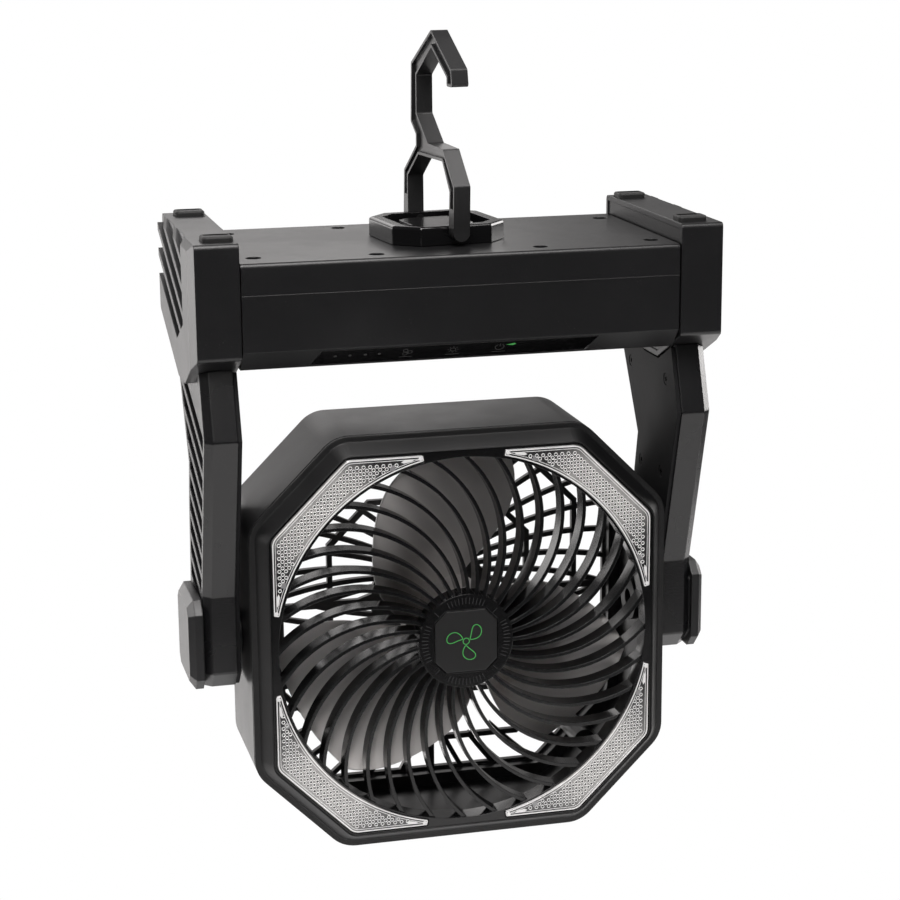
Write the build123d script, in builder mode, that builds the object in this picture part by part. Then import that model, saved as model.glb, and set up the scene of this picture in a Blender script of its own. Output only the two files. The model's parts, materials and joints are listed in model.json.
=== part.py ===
from build123d import *
import os
from math import cos, degrees, log, radians, sin, sqrt, tan

os.makedirs("parts", exist_ok=True)

# Portable camping fan, hanging from its own hook, in millimetres.
# +Z is up, -Y is the side that the air leaves by, and the origin is the seat of the hook.
# Heights are given down from the tops of the end caps, and depths from the swivel axis.

# ---- Driving sizes ---------------------------------------------------------------------

slide_gap = 0.2        # play between two pieces that are pushed together
turn_gap = 0.3         # play between faces that turn past each other
pin_gap = 0.05         # play all round a shaft or a pin
first_corner = 45.0    # direction of the first of the four corners, in degrees

# Head
head_width = 201.6     # across the flats of its octagon
head_cut = 41.2        # what each corner loses along both sides
head_corner = 16.0     # rounding of the eight corners
head_wall = 2.5
housing_length = 56.4  # straight part of the housing
lip_reach = 37.1       # front of the lip, ahead of the pivot axis
lip_band = 1.2         # thickness of the lip
lip_gap = 1.5          # width of the shadow line between lip and housing
lip_gap_depth = 1.2
lip_flat = 2.7         # flat band inside the lip's edge
bezel_rise = 7.1       # height of the bevel ahead of the lip
bezel_run = 4.8        # width of the bevel
bezel_edge = 0.5       # flat top of the bevel
bezel_wall = 2.6
sleeve_length = 4.4    # part of the bezel that enters the housing
sleeve_wall = 1.6

# Front grille and lights
grille_sink = 0.3      # plate below the bezel's top
flange_width = 2.6
flange_thick = 2.0
bore_rim = 3.3         # plate beside the round opening
bore_wall = 2.0
louvre_count = 36
louvre_width = 1.7
louvre_depth = 8.6
louvre_sink = 0.8      # louvre edges below the plate
louvre_sweep = 35.0    # turn of a louvre from hub to bore, in degrees
louvre_middle = 63.0   # radius at which the sweep below is reached
louvre_middle_sweep = 18.5
louvre_start = 5.0
hub_radius = 23.0
hub_rise = 1.1         # hub ahead of the plate
hub_floor = 1.6        # hub left behind the badge
badge_half = 15.0
badge_cut = 5.5
badge_thick = 1.4
badge_groove = 0.4
lens_margin = 1.0      # from the bore and from the plate's edge to a lens
lens_thick = 2.0
lens_proud = 0.2
lens_start = 12.0      # where a lens begins in its quarter, in degrees
lens_ledge = 1.2
lens_tip = 1.0
lens_bevel = 0.4
light_spread = 40.0    # angle that the chips of one lens span
light_board_thick = 1.6
light_count = 9        # light chips behind each lens
light_size = 2.8
light_height = 0.7

# Impeller and motor
impeller_margin = 4.8  # impeller inside the round opening
impeller_depth = 28.0
impeller_gap = 3.4     # behind the louvres
impeller_hub = 22.0
hub_wall = 3.0
blade_count = 3
blade_thick = 1.8
blade_angle = 95.0     # direction of the first blade's middle line, in degrees
blade_root = (6.0, -5.0, 23.0)     # distance out, then the two edges from the middle line
blade_waist = (30.0, -20.0, 37.5)
blade_belly = (52.0, -38.0, 36.5)
blade_shoulder = (68.0, -41.0, 31.5)
blade_tip = (88.0, -33.0, 8.0)
shaft_radius = 2.5
motor_radius = 20.0
motor_screw_inset = 5.0
motor_screw_length = 8.0
motor_gap = 4.0        # between impeller and motor
nut_half = 5.0
nut_thick = 5.0

# Rear cover
cover_depth = 9.0
cover_bevel = 6.0
cover_plate = 3.0
rear_margin = 4.0      # plate round the grille's eight-sided opening
mount_radius = 30.0
inner_ring = 52.0      # half widths of the two eight-sided rings
outer_ring = 77.0
ring_width = 2.6
spine_width = 3.2      # upright and level bars through the middle
bar_width = 2.4
bar_cant = 20.0        # lean of a bar from the radius, in degrees
bar_start = 5.0        # direction of the first bar at the mount, in degrees
bar_pitch = 9.0
bar_count = 8          # bars of a quarter that start at the mount
short_bar_count = 4    # bars of a quarter that start at the outer ring
post_radius = 5.2
post_inset = 12.0      # from the corner faces to the screw posts
post_length = 26.0
screw_bite = 12.0      # how far a screw goes into the piece that holds it

# Pivots and arms
pivot_gap = 2.8        # between head and arms
pivot_drop = 194.0
pivot_forward = 7.0    # pivot axis ahead of the swivel axis
shaft_outer = 7.0
shaft_bore = 4.5
shaft_flange = 11.0
shaft_flange_thick = 3.0
nut_outer = 10.5
nut_height = 2.5
washer_outer = 11.0
arm_thick = 16.9
arm_cover = 2.0
arm_wall = 2.5
arm_end_half = 22.5
arm_end_cut = 9.0
arm_chamfer = 3.8
arm_corner = 2.0
slot_depth = 3.0
slot_rim = 3.4
slot_height = 7.5
slot_pitch = 11.5
slot_angle = 19.0
boss_half = 22.0
boss_cut = 6.0
boss_plate = 3.7
boss_gap = 0.5         # shadow line between arm and pivot cap
boss_bevel = 2.9
boss_bevel_run = 4.0
arm_plug_width = 44.0
arm_plug_height = 14.0
arm_plug_wall = 1.0
arm_plug_inset = 2.0
arm_top_front = (-38.0, -47.0)     # depth and height of the outline's corners
arm_knee = (-53.5, -90.2)
arm_front_foot = 24.4  # height of the corner above the pivot
arm_back_foot = 16.0
arm_back_low = (10.0, -131.0)
arm_back_waist = (5.5, -112.0)
arm_back_knee = (28.0, -75.0)
arm_top_back = (42.8, -47.0)
arm_cover_inset = 0.8
arm_screw_spots = [(16.4, -77.9), (-34.9, -77.2), (-0.7, -124.7), (-29.7, -123.8)]
arm_screw_post = 3.5
arm_screw_head = 2.6
arm_screw_height = 1.2
arm_screw_sink = 1.4
arm_screw_bite = 7.0
slot_count = 9
slot_middle = 123.0    # height of the middle slot below the cap tops

# End caps
cap_over = 4.5         # cap outside the arm
cap_inset = 0.5        # cap inside the arm's inner face
cap_half_depth = 56.4
cap_front = 52.2       # height of the front face
cap_back = 46.0        # height of the back face
cap_tongue = 68.0      # lowest point
tongue_front = 24.0
tongue_back = 4.0
cap_bevel = 1.9
cap_bevel_front = 10.9
cap_bevel_top = 4.0
cap_round = 2.4
cap_lip = 2.6          # rim round the inner side of a cap
cap_lip_depth = 0.6
groove_depth = 2.4
groove_height = 8.8
groove_pitch = 12.4
groove_front = 25.5    # front ends of the grooves, ahead of the swivel axis
groove_low = 59.1      # lowest groove's lower edge at its front end
foot_width = 14.5
foot_length = 11.0
foot_proud = 2.4
foot_seat = 1.2
foot_setback = 12.4    # foot's middle from the cap's front and back faces
foot_inset = 0.9
foot_round = 2.0
foot_bevel = 0.6
cap_rim = 3.0          # cap left around the base's end
groove_count = 5
groove_nose_top = 40.3
groove_nose_back = 2.5
cap_screw_height = 34.0
cap_screw_reach = 24.0

# Base
base_drop = 9.3        # base top below the tops of the caps
base_height = 49.6
base_setback = 0.8     # base face behind the cap face
base_wall = 2.5
base_round = 2.2
slope_size = 9.6       # slanted lower face, along both directions
parting_drop = 14.4    # parting line below the base top
neck_gap = 0.6         # between the base's ends and the caps
neck_inset = 2.4
pocket_depth = 6.0
panel_width = 130.5
panel_lean = 4.5
panel_height = 10.6
panel_thick = 1.2
panel_shift = -3.7
screw_head = 2.9
screw_head_height = 2.2
screw_shank = 1.5
recess_radius = 3.6
recess_depth = 8.0
screw_length = 14.0
boss_outer = 5.4
outer_screw_end = 8.5  # from the base's ends to the outer screws
outer_screw_inset = 16.6           # from the base's front and back to the outer screws
inner_screw_x = 38.5
inner_screw_inset = 11.6
cell_radius = 9.2
cell_length = 65.0
cell_rows = 3
tray_floor = 2.0
tray_height = 8.0
board_thick = 1.6
cell_gap = 0.8
tray_wall = 1.6
tray_gap = 0.5         # between battery tray and socket board
board_length = 144.0
board_inset = 9.6      # main board behind the base's front
board_gap = 1.0        # between main board and battery tray
board_drop = 42.0
board_post_end = 6.0   # from the main board's ends to its posts
board_post_edge = 5.0  # from its long edges to its posts
board_post = 3.0
board_screw_bite = 6.0
control_width = 9.0
control_inset = 3.25   # control board inside the panel's ends
socket_x = -60.0
socket_drop = 36.0
socket_width = 9.0
socket_height = 3.2
socket_length = 7.5
socket_skin = 0.4
socket_sink = 1.0
socket_post = 2.4
socket_post_spread = 10.0
socket_board_inset = 10.6          # socket board's middle from the base's back
socket_board_length = 20.0
socket_board_width = 13.0
cap_screw_bite = 9.0

# Swivel and hook
hook_turn = 6.0        # swivel turned from straight ahead, in degrees
seat_reach = -6.6      # seat of the hook from the swivel axis, in the hook's own plane
seat_height = 80.0
hook_thick = 8.0
hook_rim = 1.3
hook_groove = 1.5
plate_half = 27.8
plate_cut = 10.5
plate_height = 8.8
plate_wall = 5.8
plate_floor = 2.6
plate_round = 1.6
island_half = 17.0
island_bevel = 2.0
hub_outer = 8.0
washer_radius = 13.0
washer_thick = 1.6
hub_bite = 5.0         # screw in the swivel's hub
hinge_height = 6.3     # hook hinge above the base top
hinge_pin = 2.0
leg_gap = 0.7          # between the swivel plate and each leg
leg_width = 6.6
plate_corner = 1.5
island_cut = 6.5
island_sink = 1.4
pin_skin = 1.4         # leg left over the end of each hinge pin
pin_end_gap = 0.4
leg_solid = 11.0       # plain part of each leg, from its end
hook_round = 1.4
peak_rise = 8.0
fork_lean = 1.4
fork_shoulder = 19.5
fork_inner_shoulder = 15.7
fork_top = 28.7
fork_top_reach = 21.5
fork_inner_front = 20.2
fork_inner_back = 12.7
neck_side = 16.0
neck_low = 32.7
neck_high = 38.0
stem_outer = 23.2
stem_inner = 14.5
stem_foot = 43.5
stem_top = 71.4
stem_lean = 1.3
stem_inner_foot = 48.0
stem_inner_top = 66.0
waist = -1.0
waist_height = 35.2
fork_back_top = 34.3
fork_back_shoulder = 18.5
fork_back_swell = 0.9
fork_inner_swell = 1.2
fork_front_shoulder = 17.0
tip_outer = -34.5
tip_inner = -27.0
tip_lean = 1.5
tip_low = 63.5
tip_top = 67.6

# ---- Worked-out sizes ------------------------------------------------------------------

head_half = head_width / 2
arm_inside = head_half + pivot_gap
arm_outside = arm_inside + arm_thick
cap_inside = arm_inside - cap_inset
cap_outside = arm_outside + cap_over
base_half = cap_half_depth - base_setback
base_bottom = base_drop + base_height
base_end = cap_inside - neck_gap
neck_end = cap_inside + pocket_depth - slide_gap
parting = base_drop + parting_drop
outer_screw_x = base_end - outer_screw_end
outer_screw_y = base_half - outer_screw_inset
inner_screw_y = base_half - inner_screw_inset
foot_offset = cap_half_depth - foot_setback
groove_rise = (cap_tongue - cap_back) / (cap_half_depth + tongue_back)

axis_x = seat_reach * sin(radians(hook_turn))
axis_y = -seat_reach * cos(radians(hook_turn))
datum_z = -seat_height


def level(drop):
    """A horizontal plane below the cap tops, X and Y from the swivel axis."""
    return Plane((axis_x, axis_y, datum_z - drop), x_dir=(1, 0, 0), z_dir=(0, 0, 1))


def aside(x):
    """An upright plane seen from the right, with depth and height as its two directions."""
    return Plane((axis_x + x, axis_y, datum_z), x_dir=(0, 1, 0), z_dir=(1, 0, 0))


def inward(x):
    """The same plane as seen from the middle of the fan."""
    return Plane(aside(x).origin, x_dir=(0, -1, 0), z_dir=(-1, 0, 0))


def facing(y):
    """An upright plane seen from the front, X and height from the cap tops."""
    return Plane((axis_x, axis_y + y, datum_z), x_dir=(1, 0, 0), z_dir=(0, -1, 0))


def across(y):
    """A plane across the head, centred on the pivot axis, y behind it."""
    middle = (axis_x, axis_y - pivot_forward + y, datum_z - pivot_drop)
    return Plane(middle, x_dir=(1, 0, 0), z_dir=(0, -1, 0))


def behind(y):
    """The same plane seen from the back."""
    return Plane(across(y).origin, x_dir=(-1, 0, 0), z_dir=(0, 1, 0))


def beside(x):
    """A plane seen from the right, centred on the pivot axis."""
    middle = (axis_x + x, axis_y - pivot_forward, datum_z - pivot_drop)
    return Plane(middle, x_dir=(0, 1, 0), z_dir=(1, 0, 0))


def octagon(half, cut, corner=0.0):
    """A square with its corners cut off and the eight vertices rounded."""
    flat = half - cut
    corners = [(flat, half), (half, flat), (half, -flat), (flat, -half)]
    corners += [(-x, -y) for x, y in corners]
    with BuildSketch() as shape:
        with BuildLine():
            if corner > 0:
                FilletPolyline(*corners, radius=corner, close=True)
            else:
                Polyline(*corners, close=True)
        make_face()
    return shape.sketch


def head_outline(inset):
    """The head's outline, moved inwards."""
    half = head_half - inset
    cut = head_cut - inset * (2 - sqrt(2))
    return octagon(half, cut, max(head_corner - inset, bezel_edge))


def polar(radius, angle):
    """A point by its radius and angle, anticlockwise as seen from the front."""
    return (radius * cos(radians(angle)), radius * sin(radians(angle)))


def outline(corners, rounding=0.0):
    """A closed outline through its corners."""
    with BuildSketch() as shape:
        with BuildLine():
            if rounding > 0:
                FilletPolyline(*corners, radius=rounding, close=True)
            else:
                Polyline(*corners, close=True)
        make_face()
    return shape.sketch


standing = (Align.CENTER, Align.CENTER, Align.MIN)


def screws(plane, spots, length, head=(screw_head, screw_head_height)):
    """Screws whose heads stand on a plane and whose shanks go in behind it."""
    with BuildPart(plane) as group:
        with spots:
            Cylinder(*head, align=standing)
            with Locations((0, 0, -length)):
                Cylinder(screw_shank, length, align=standing)
    return group.part


# ---- Head housing ----------------------------------------------------------------------

housing_front = lip_band + lip_gap - lip_reach
housing_back = housing_front + housing_length
corner_reach = (2 * head_half - head_cut) / sqrt(2)
post_spots = PolarLocations(corner_reach - post_inset, 4, start_angle=first_corner)
screw_bore = screw_shank + pin_gap


def post_profile():
    """The four screw posts in the corners, each joined to its wall."""
    with BuildSketch() as shape:
        with post_spots:
            Circle(post_radius)
            Rectangle(post_inset, 2 * post_radius, align=(Align.MIN, Align.CENTER))
        add(head_outline(head_wall / 2), mode=Mode.INTERSECT)
    return shape.sketch


with BuildPart() as head_housing:
    with BuildSketch(across(housing_back)):
        add(head_outline(0))
        add(head_outline(head_wall), mode=Mode.SUBTRACT)
    extrude(amount=housing_length)
    with BuildSketch(across(housing_back)):
        add(post_profile())
    extrude(amount=post_length)
    with BuildSketch(across(housing_back)):
        with post_spots:
            Circle(screw_bore)
    extrude(amount=screw_bite + slide_gap, mode=Mode.SUBTRACT)
    with BuildSketch(beside(-head_half)):
        Circle(shaft_outer + pin_gap)
    extrude(amount=head_width, mode=Mode.SUBTRACT)

# ---- Front bezel -----------------------------------------------------------------------

bezel_top = -lip_reach - bezel_rise
plate_front = bezel_top + grille_sink
opening_inset = lip_flat + bezel_run + bezel_edge
plate_inset = opening_inset + slide_gap
flange_inset = plate_inset - flange_width
bore_radius = head_half - plate_inset - bore_rim
flange_front = -lip_reach - bezel_wall / 2
sleeve_inset = head_wall + slide_gap
sleeve_back = housing_front + sleeve_length

with BuildPart() as front_bezel:
    with BuildSketch(across(lip_band - lip_reach)):
        add(head_outline(0))
    extrude(amount=lip_band)
    with BuildSketch(across(housing_front)):
        add(head_outline(lip_gap_depth))
    extrude(amount=lip_gap)
    with BuildSketch(across(sleeve_back)):
        add(head_outline(sleeve_inset))
    extrude(amount=sleeve_length)
    with BuildSketch(across(-lip_reach)):
        add(head_outline(lip_flat))
    with BuildSketch(across(bezel_top)):
        add(head_outline(lip_flat + bezel_run))
    loft(ruled=True)
    with BuildSketch(across(sleeve_back)):
        add(head_outline(opening_inset))
    extrude(amount=sleeve_back - bezel_top, mode=Mode.SUBTRACT)
    with BuildSketch(across(sleeve_back)):
        add(head_outline(sleeve_inset + sleeve_wall))
    extrude(amount=sleeve_back - flange_front, mode=Mode.SUBTRACT)

# ---- Front grille ----------------------------------------------------------------------

flange_back = flange_front + flange_thick
louvre_front = plate_front + louvre_sink
louvre_back = louvre_front + louvre_depth
hub_front = plate_front - hub_rise
pocket_floor = plate_front + lens_thick - lens_proud


def lens_outline(margin):
    """One corner lens between the bore and the plate's edge, seen from the front."""
    start = lens_start + margin / 2
    reach = 2 * head_half
    with BuildSketch() as shape:
        add(head_outline(plate_inset + lens_margin + margin))
        Circle(bore_radius + lens_margin + margin, mode=Mode.SUBTRACT)
        wedge = outline([(0, 0), polar(reach, start), polar(reach, 90 - start)])
        add(wedge, mode=Mode.INTERSECT)
        ends = shape.edges().filter_by(GeomType.LINE).sort_by(SortBy.LENGTH)[:2]
        fillet(ends.vertices(), radius=min(lens_tip, ends[0].length / 3))
    return shape.sketch


def one_louvre():
    """The front edge of one louvre, from the hub out to the bore."""
    with BuildSketch() as shape:
        with BuildLine():
            ThreePointArc(
                polar(hub_radius - bore_wall, 0),
                polar(louvre_middle, louvre_middle_sweep),
                polar(bore_radius + bore_wall / 2, louvre_sweep),
            )
        trace(line_width=louvre_width)
    return shape.sketch


louvre = one_louvre()
lens_pocket = lens_outline(-slide_gap)
lens_window = lens_outline(lens_ledge)

with BuildPart() as front_grille:
    with BuildSketch(across(flange_back)):
        add(head_outline(flange_inset))
        Circle(bore_radius, mode=Mode.SUBTRACT)
    extrude(amount=flange_thick)
    with BuildSketch(across(flange_back)):
        add(head_outline(plate_inset))
        Circle(bore_radius, mode=Mode.SUBTRACT)
    extrude(amount=flange_back - plate_front)
    with BuildSketch(across(louvre_back)):
        Circle(bore_radius + bore_wall)
        Circle(bore_radius, mode=Mode.SUBTRACT)
    extrude(amount=louvre_back - plate_front)
    with BuildSketch(across(louvre_back)):
        with PolarLocations(0, louvre_count, start_angle=louvre_start):
            add(louvre)
    extrude(amount=louvre_depth)
    with BuildSketch(across(louvre_back)):
        Circle(hub_radius)
    extrude(amount=louvre_back - hub_front)
    with BuildSketch(across(hub_front + badge_thick)):
        add(octagon(badge_half + badge_groove, badge_cut))
    extrude(amount=badge_thick, mode=Mode.SUBTRACT)
    with BuildSketch(across(louvre_back)):
        Circle(hub_radius - bore_wall)
    extrude(amount=louvre_back - hub_front - badge_thick - hub_floor, mode=Mode.SUBTRACT)
    with BuildSketch(across(pocket_floor)):
        with PolarLocations(0, 4):
            add(lens_pocket)
    extrude(amount=lens_thick, mode=Mode.SUBTRACT)
    with BuildSketch(across(flange_back)):
        with PolarLocations(0, 4):
            add(lens_window)
    extrude(amount=flange_back - pocket_floor, mode=Mode.SUBTRACT)

# ---- Lenses, light board and hub badge -------------------------------------------------

lens_names = ["right_upper_lens", "left_upper_lens", "left_lower_lens", "right_lower_lens"]
lenses = []
for quarter, lens_name in enumerate(lens_names):
    with BuildPart() as corner_lens:
        with BuildSketch(across(pocket_floor)):
            add(lens_outline(0), rotation=90 * quarter)
        extrude(amount=lens_thick)
        outer_face = corner_lens.faces().filter_by(Axis.Y).sort_by(Axis.Y)[0]
        chamfer(outer_face.edges(), length=lens_bevel)
    lenses.append((lens_name, corner_lens.part))

light_circle = (bore_radius + corner_reach - plate_inset) / 2

with BuildPart() as light_board:
    with BuildSketch(across(flange_back + light_board_thick)):
        add(head_outline(flange_inset + slide_gap))
        Circle(bore_radius + bore_wall + slide_gap, mode=Mode.SUBTRACT)
    extrude(amount=light_board_thick)
    with BuildSketch(across(flange_back)):
        for quarter in range(4):
            first = first_corner + 90 * quarter - light_spread / 2
            with PolarLocations(light_circle, light_count, first, light_spread, endpoint=True):
                Rectangle(light_size, light_size)
    extrude(amount=light_height)

with BuildPart() as hub_badge:
    with BuildSketch(across(hub_front + badge_thick)):
        add(octagon(badge_half, badge_cut))
    extrude(amount=badge_thick)

# ---- Impeller and motor ----------------------------------------------------------------

impeller_front = louvre_back + impeller_gap
impeller_middle = impeller_front + impeller_depth / 2
impeller_back = impeller_front + impeller_depth
motor_front = impeller_back + motor_gap
cover_back = housing_back + cover_depth
mount_face = cover_back - cover_plate
shaft_back = mount_face - hub_wall
motor_spots = PolarLocations(motor_radius - motor_screw_inset, 4, start_angle=first_corner)
turn_axis = Axis(across(0).origin, (0, -1, 0))
impeller_radius = bore_radius - impeller_margin
blade_stations = (blade_root, blade_waist, blade_belly, blade_shoulder, blade_tip)


def blade_section(radius, leading, trailing):
    """A blade cut square to its middle line: back at its leading edge, front at the other."""
    turn = radians(blade_angle)
    away = (cos(turn), 0, sin(turn))
    middle = across(impeller_middle).origin + Vector(*away) * radius
    half = (impeller_depth - blade_thick) / 2
    slant = blade_thick / 2
    corners = [
        (leading, -half - slant),
        (trailing, half - slant),
        (trailing, half + slant),
        (leading, -half + slant),
    ]
    with BuildSketch(Plane(middle, x_dir=(-sin(turn), 0, cos(turn)), z_dir=away)) as section:
        add(outline(corners))
    return section.sketch


with BuildPart() as blade:
    for radius, leading, trailing in blade_stations:
        add(blade_section(radius, leading, trailing))
    loft()
    with BuildSketch(across(impeller_back + blade_thick)):
        Circle(impeller_radius)
    extrude(amount=impeller_depth + 2 * blade_thick, mode=Mode.INTERSECT)

with BuildPart() as impeller:
    with BuildSketch(across(impeller_back)):
        Circle(impeller_hub)
    extrude(amount=impeller_depth)
    for turn in range(blade_count):
        add(blade.part.rotate(turn_axis, turn * 360 / blade_count))
    with BuildSketch(across(impeller_back)):
        Circle(impeller_hub - hub_wall)
        Circle(shaft_radius + hub_wall, mode=Mode.SUBTRACT)
    extrude(amount=impeller_depth - hub_wall, mode=Mode.SUBTRACT)
    with BuildSketch(across(impeller_back)):
        Circle(shaft_radius + pin_gap)
    extrude(amount=impeller_depth, mode=Mode.SUBTRACT)

with BuildPart() as impeller_nut:
    with BuildSketch(across(impeller_front - pin_gap)):
        RegularPolygon(nut_half, 6, major_radius=False)
        Circle(shaft_radius + pin_gap, mode=Mode.SUBTRACT)
    extrude(amount=nut_thick)

with BuildPart() as motor_shaft:
    with BuildSketch(across(shaft_back)):
        Circle(shaft_radius)
    extrude(amount=shaft_back - impeller_front + nut_thick)

with BuildPart() as motor:
    with BuildSketch(across(mount_face)):
        Circle(motor_radius)
    extrude(amount=mount_face - motor_front)
    with BuildSketch(across(shaft_back + turn_gap)):
        Circle(shaft_radius + pin_gap)
    extrude(amount=shaft_back + turn_gap - motor_front, mode=Mode.SUBTRACT)
    with BuildSketch(across(mount_face)):
        with motor_spots:
            Circle(screw_bore)
    extrude(amount=motor_screw_length, mode=Mode.SUBTRACT)

# ---- Rear cover ------------------------------------------------------------------------

cover_seat = cover_back - screw_head_height - slide_gap
head_recess = screw_head + slide_gap
rear_opening = head_outline(cover_bevel + rear_margin)


def bar_point(first, radius):
    """A point of a rear bar that leaves the mount in the given direction."""
    turn = degrees(tan(radians(bar_cant)) * log(radius / mount_radius))
    return polar(radius, first - turn)


def rear_bar(first, start):
    """One bar of the rear grille, leaning from the radius, out to beyond the rim."""
    middle = sqrt(start * corner_reach)
    points = [bar_point(first, radius) for radius in (start, middle, corner_reach)]
    with BuildSketch() as shape:
        with BuildLine():
            ThreePointArc(*points)
        trace(line_width=bar_width)
    return shape.sketch


def rear_ring(half):
    """One eight-sided ring, with sides in the head's own proportions."""
    inner = half - ring_width
    with BuildSketch() as shape:
        add(octagon(half, half * head_cut / head_half))
        add(octagon(inner, inner * head_cut / head_half), mode=Mode.SUBTRACT)
    return shape.sketch


with BuildSketch() as rear_quarter:
    for index in range(bar_count + short_bar_count):
        bar_from = mount_radius - ring_width if index < bar_count else outer_ring
        add(rear_bar(bar_start + index * bar_pitch, bar_from))
    Rectangle(corner_reach, corner_reach, align=(Align.MIN, Align.MIN), mode=Mode.INTERSECT)

with BuildSketch() as rear_bars:
    add(rear_quarter.sketch)
    mirror(about=Plane.XZ)
    mirror(about=Plane.YZ)
    Rectangle(2 * corner_reach, spine_width)
    Rectangle(spine_width, 2 * corner_reach)
    add(rear_ring(inner_ring))
    add(rear_ring(outer_ring))
    Circle(mount_radius)
    add(rear_opening, mode=Mode.INTERSECT)

with BuildPart() as rear_cover:
    with BuildSketch(across(housing_back)):
        add(head_outline(0))
    with BuildSketch(across(cover_back)):
        add(head_outline(cover_bevel))
    loft(ruled=True)
    with BuildSketch(across(mount_face)):
        add(head_outline(cover_bevel + head_wall))
    extrude(amount=cover_depth, mode=Mode.SUBTRACT)
    with BuildSketch(across(cover_back)):
        add(rear_opening)
    extrude(amount=cover_plate, mode=Mode.SUBTRACT)
    with BuildSketch(across(cover_back)):
        add(rear_bars.sketch)
    extrude(amount=cover_plate)
    with BuildSketch(across(cover_back)):
        with post_spots:
            Circle(post_radius)
    extrude(amount=cover_back - housing_back)
    with BuildSketch(across(cover_back)):
        with post_spots:
            Circle(head_recess)
    extrude(amount=cover_back - cover_seat, mode=Mode.SUBTRACT)
    with BuildSketch(across(cover_back)):
        with post_spots:
            Circle(screw_bore)
        with motor_spots:
            Circle(screw_bore)
    extrude(amount=cover_depth, mode=Mode.SUBTRACT)

with BuildPart() as head_screws:
    add(screws(behind(cover_seat), post_spots, cover_seat - housing_back + screw_bite))

with BuildPart() as motor_screws:
    add(screws(behind(cover_back), motor_spots, cover_plate + motor_screw_length - slide_gap))

# ---- Pivots ----------------------------------------------------------------------------

head_inside = head_half - head_wall
nut_face = arm_inside + arm_cover + turn_gap
shaft_end = nut_face + nut_height

with BuildPart() as right_pivot_shaft:
    with BuildSketch(beside(head_inside - shaft_flange_thick)):
        Circle(shaft_flange)
    extrude(amount=shaft_flange_thick)
    with BuildSketch(beside(head_inside - shaft_flange_thick)):
        Circle(shaft_outer)
    extrude(amount=shaft_end - head_inside + shaft_flange_thick)
    with BuildSketch(beside(head_inside - shaft_flange_thick)):
        Circle(shaft_bore)
    extrude(amount=shaft_end - head_inside + shaft_flange_thick, mode=Mode.SUBTRACT)

with BuildPart() as right_pivot_nut:
    with BuildSketch(beside(nut_face)):
        RegularPolygon(nut_outer, 8)
        Circle(shaft_outer + pin_gap, mode=Mode.SUBTRACT)
    extrude(amount=nut_height)

with BuildPart() as right_pivot_washer:
    with BuildSketch(beside(head_half + turn_gap)):
        Circle(washer_outer)
        Circle(shaft_outer + pin_gap, mode=Mode.SUBTRACT)
    extrude(amount=pivot_gap - turn_gap)

with BuildPart() as right_pivot_cap:
    with BuildSketch(beside(arm_outside)):
        add(octagon(boss_half - boss_bevel, boss_cut))
    extrude(amount=boss_gap)
    with BuildSketch(beside(arm_outside + boss_gap)):
        add(octagon(boss_half, boss_cut))
    extrude(amount=boss_plate)
    with BuildSketch(beside(arm_outside + boss_gap + boss_plate)):
        add(octagon(boss_half, boss_cut))
    with BuildSketch(beside(arm_outside + boss_gap + boss_plate + boss_bevel)):
        add(octagon(boss_half - boss_bevel_run, boss_cut - boss_bevel_run * (2 - sqrt(2))))
    loft(ruled=True)

# ---- End cap outline and arms ----------------------------------------------------------

cap_corners = [
    (-cap_half_depth, 0),
    (-cap_half_depth, -cap_front),
    (-tongue_front, -cap_tongue),
    (-tongue_back, -cap_tongue),
    (cap_half_depth, -cap_back),
    (cap_half_depth, 0),
]
plug_inside = cap_inside + pocket_depth + arm_plug_wall
plug_outside = arm_outside - arm_plug_inset
end_front = -pivot_forward - arm_end_half
end_back = -pivot_forward + arm_end_half
end_low = -pivot_drop - arm_end_half
end_side = -pivot_drop - arm_end_half + arm_end_cut
arm_corners = [
    arm_top_front,
    arm_knee,
    (end_front, -pivot_drop + arm_front_foot),
    (end_front, end_side),
    (end_front + arm_end_cut, end_low),
    (end_back - arm_end_cut, end_low),
    (end_back, end_side),
    (end_back, -pivot_drop + arm_back_foot),
    arm_back_low,
    arm_back_waist,
    arm_back_knee,
    arm_top_back,
]
arm_spots = Locations(*arm_screw_spots)
arm_shell_floor = arm_outside - slot_depth - arm_wall
arm_shell_face = arm_inside + arm_cover


def arm_profile(inset):
    """An arm below its end cap, moved inwards."""
    with BuildSketch() as shape:
        add(outline(arm_corners, arm_corner if inset == 0 else 0))
        with BuildSketch(mode=Mode.PRIVATE) as cap:
            add(outline(cap_corners))
            offset(amount=slide_gap, kind=Kind.INTERSECTION)
        add(cap.sketch, mode=Mode.SUBTRACT)
        if inset > 0:
            offset(amount=-inset, kind=Kind.INTERSECTION)
    return shape.sketch


def arm_plug(play):
    """The tongue of an arm that goes up into its end cap."""
    low = cap_tongue + arm_wall
    with BuildSketch() as shape:
        with Locations((-(tongue_front + tongue_back) / 2, -low)):
            Rectangle(
                arm_plug_width + 2 * play,
                low - cap_tongue + arm_plug_height + play,
                align=(Align.CENTER, Align.MIN),
            )
    return shape.sketch


slot_field = arm_profile(slot_rim)
arm_outer = arm_profile(0)

with BuildPart() as arm_bevel:
    with BuildSketch(aside(arm_shell_face)):
        add(arm_outer)
    extrude(amount=arm_outside - arm_chamfer - arm_shell_face)
    with BuildSketch(aside(arm_outside - arm_chamfer)):
        add(arm_outer)
    with BuildSketch(aside(arm_outside)):
        with Locations((arm_chamfer, 0)):
            add(arm_outer)
    loft(ruled=True)

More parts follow.
